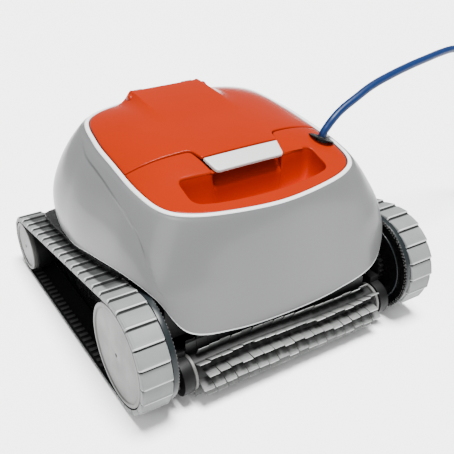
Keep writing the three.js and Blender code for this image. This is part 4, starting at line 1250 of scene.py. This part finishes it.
# ---- Gland and plug ----
def gland():
    """A broad flat collar with a soft raised ring where the cable comes out."""
    radius, top = GLAND["radius"] + 1.6, GLAND["top"]
    profile = [(5.1, -38), (5.8, -38), (8.6, -9), (8.6, 0.9), (radius, 0.9), (radius + 0.4, 1.3),
               (radius - 0.8, 1.8), (radius - 3, 2.2), (8.0, 2.4), (7.2, 1.8), (6.4, top), (5.1, top)]
    steps = 64
    rings = [np.stack([*around(r, steps), np.full(steps, h)], 1) for r, h in rounded(profile, 0.6, steps=3)]
    verts, faces = skin(rings, closed_along=True)
    cos, sin = math.cos(GLAND["lean"]), math.sin(GLAND["lean"])
    x, z = verts[:, 0] * cos + verts[:, 2] * sin, -verts[:, 0] * sin + verts[:, 2] * cos
    placed = np.column_stack([GLAND["x"] + x, GLAND["y"] + verts[:, 1], GLAND["z"] + z])
    faces = [tuple(reversed(f)) for f in faces]
    return piece("gland_collar", placed, faces, SEAL, "machine", "black_rubber", "cable_gland")


def plug():
    """The connector: a tapered boot, a ribbed nut and a plain nose."""
    low, high = (np.array(v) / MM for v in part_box("cable_plug"))
    axle = (low + high)[1:] / 2
    corners = [(5.1, 0), (6.2, 0), (8, 14), (12, 16), (12, 34),
               (10, 36), (10, 52), (8, 52), (8, 44), (5.1, 44)]
    steps, rib_count, rib_depth, rib_radius = 96, 24, 0.5, 11.0
    ribs = rib_depth * (np.cos(np.arange(steps) / steps * TAU * rib_count) > 0)
    rings = []
    for radius, along in rounded(corners, 0.8, steps=3):
        uneven = radius - (ribs if radius > rib_radius else 0.0)
        rings.append(np.stack([np.full(steps, low[0] + along), *around(uneven, steps, axle)], 1))
    body = skin(rings, closed_along=True)
    return piece("connector", *body, BLACK, "machine", "black_plastic", "cable_plug")


collar = gland()
connector = plug()

# ---- Carried-over CAD nodes ----
FINISH = {
    "steel": STEEL, "black_plastic": BLACK, "black_gloss": BLACK_GLOSS, "black_rubber": SEAL,
    "white_plastic": WHITE, "filter_mesh": GAUZE, "foam": FOAM,
}
SLOTS = {row["node"]: row["material_slot"] for row in frame["record"]["subparts"]}


def dress(node, obj):
    """Gives a CAD node its material, rounded edges and smooth shading."""
    obj.data.materials.clear()
    obj.data.materials.append(FINISH[SLOTS[node]])
    obj.data.polygons.foreach_set("use_smooth", [True] * len(obj.data.polygons))
    obj.modifiers.new("joined_corners", "WELD").merge_threshold = 0.00001
    bevel = obj.modifiers.new("edges", "BEVEL")
    bevel.width = 0.0005
    bevel.segments = 2
    bevel.limit_method = "ANGLE"
    bevel.angle_limit = 35 * DEG
    obj.modifiers.new("flat_faces", "WEIGHTED_NORMAL")


for node, obj in frame["nodes"].items():
    if not obj.hide_render:
        dress(node, obj)
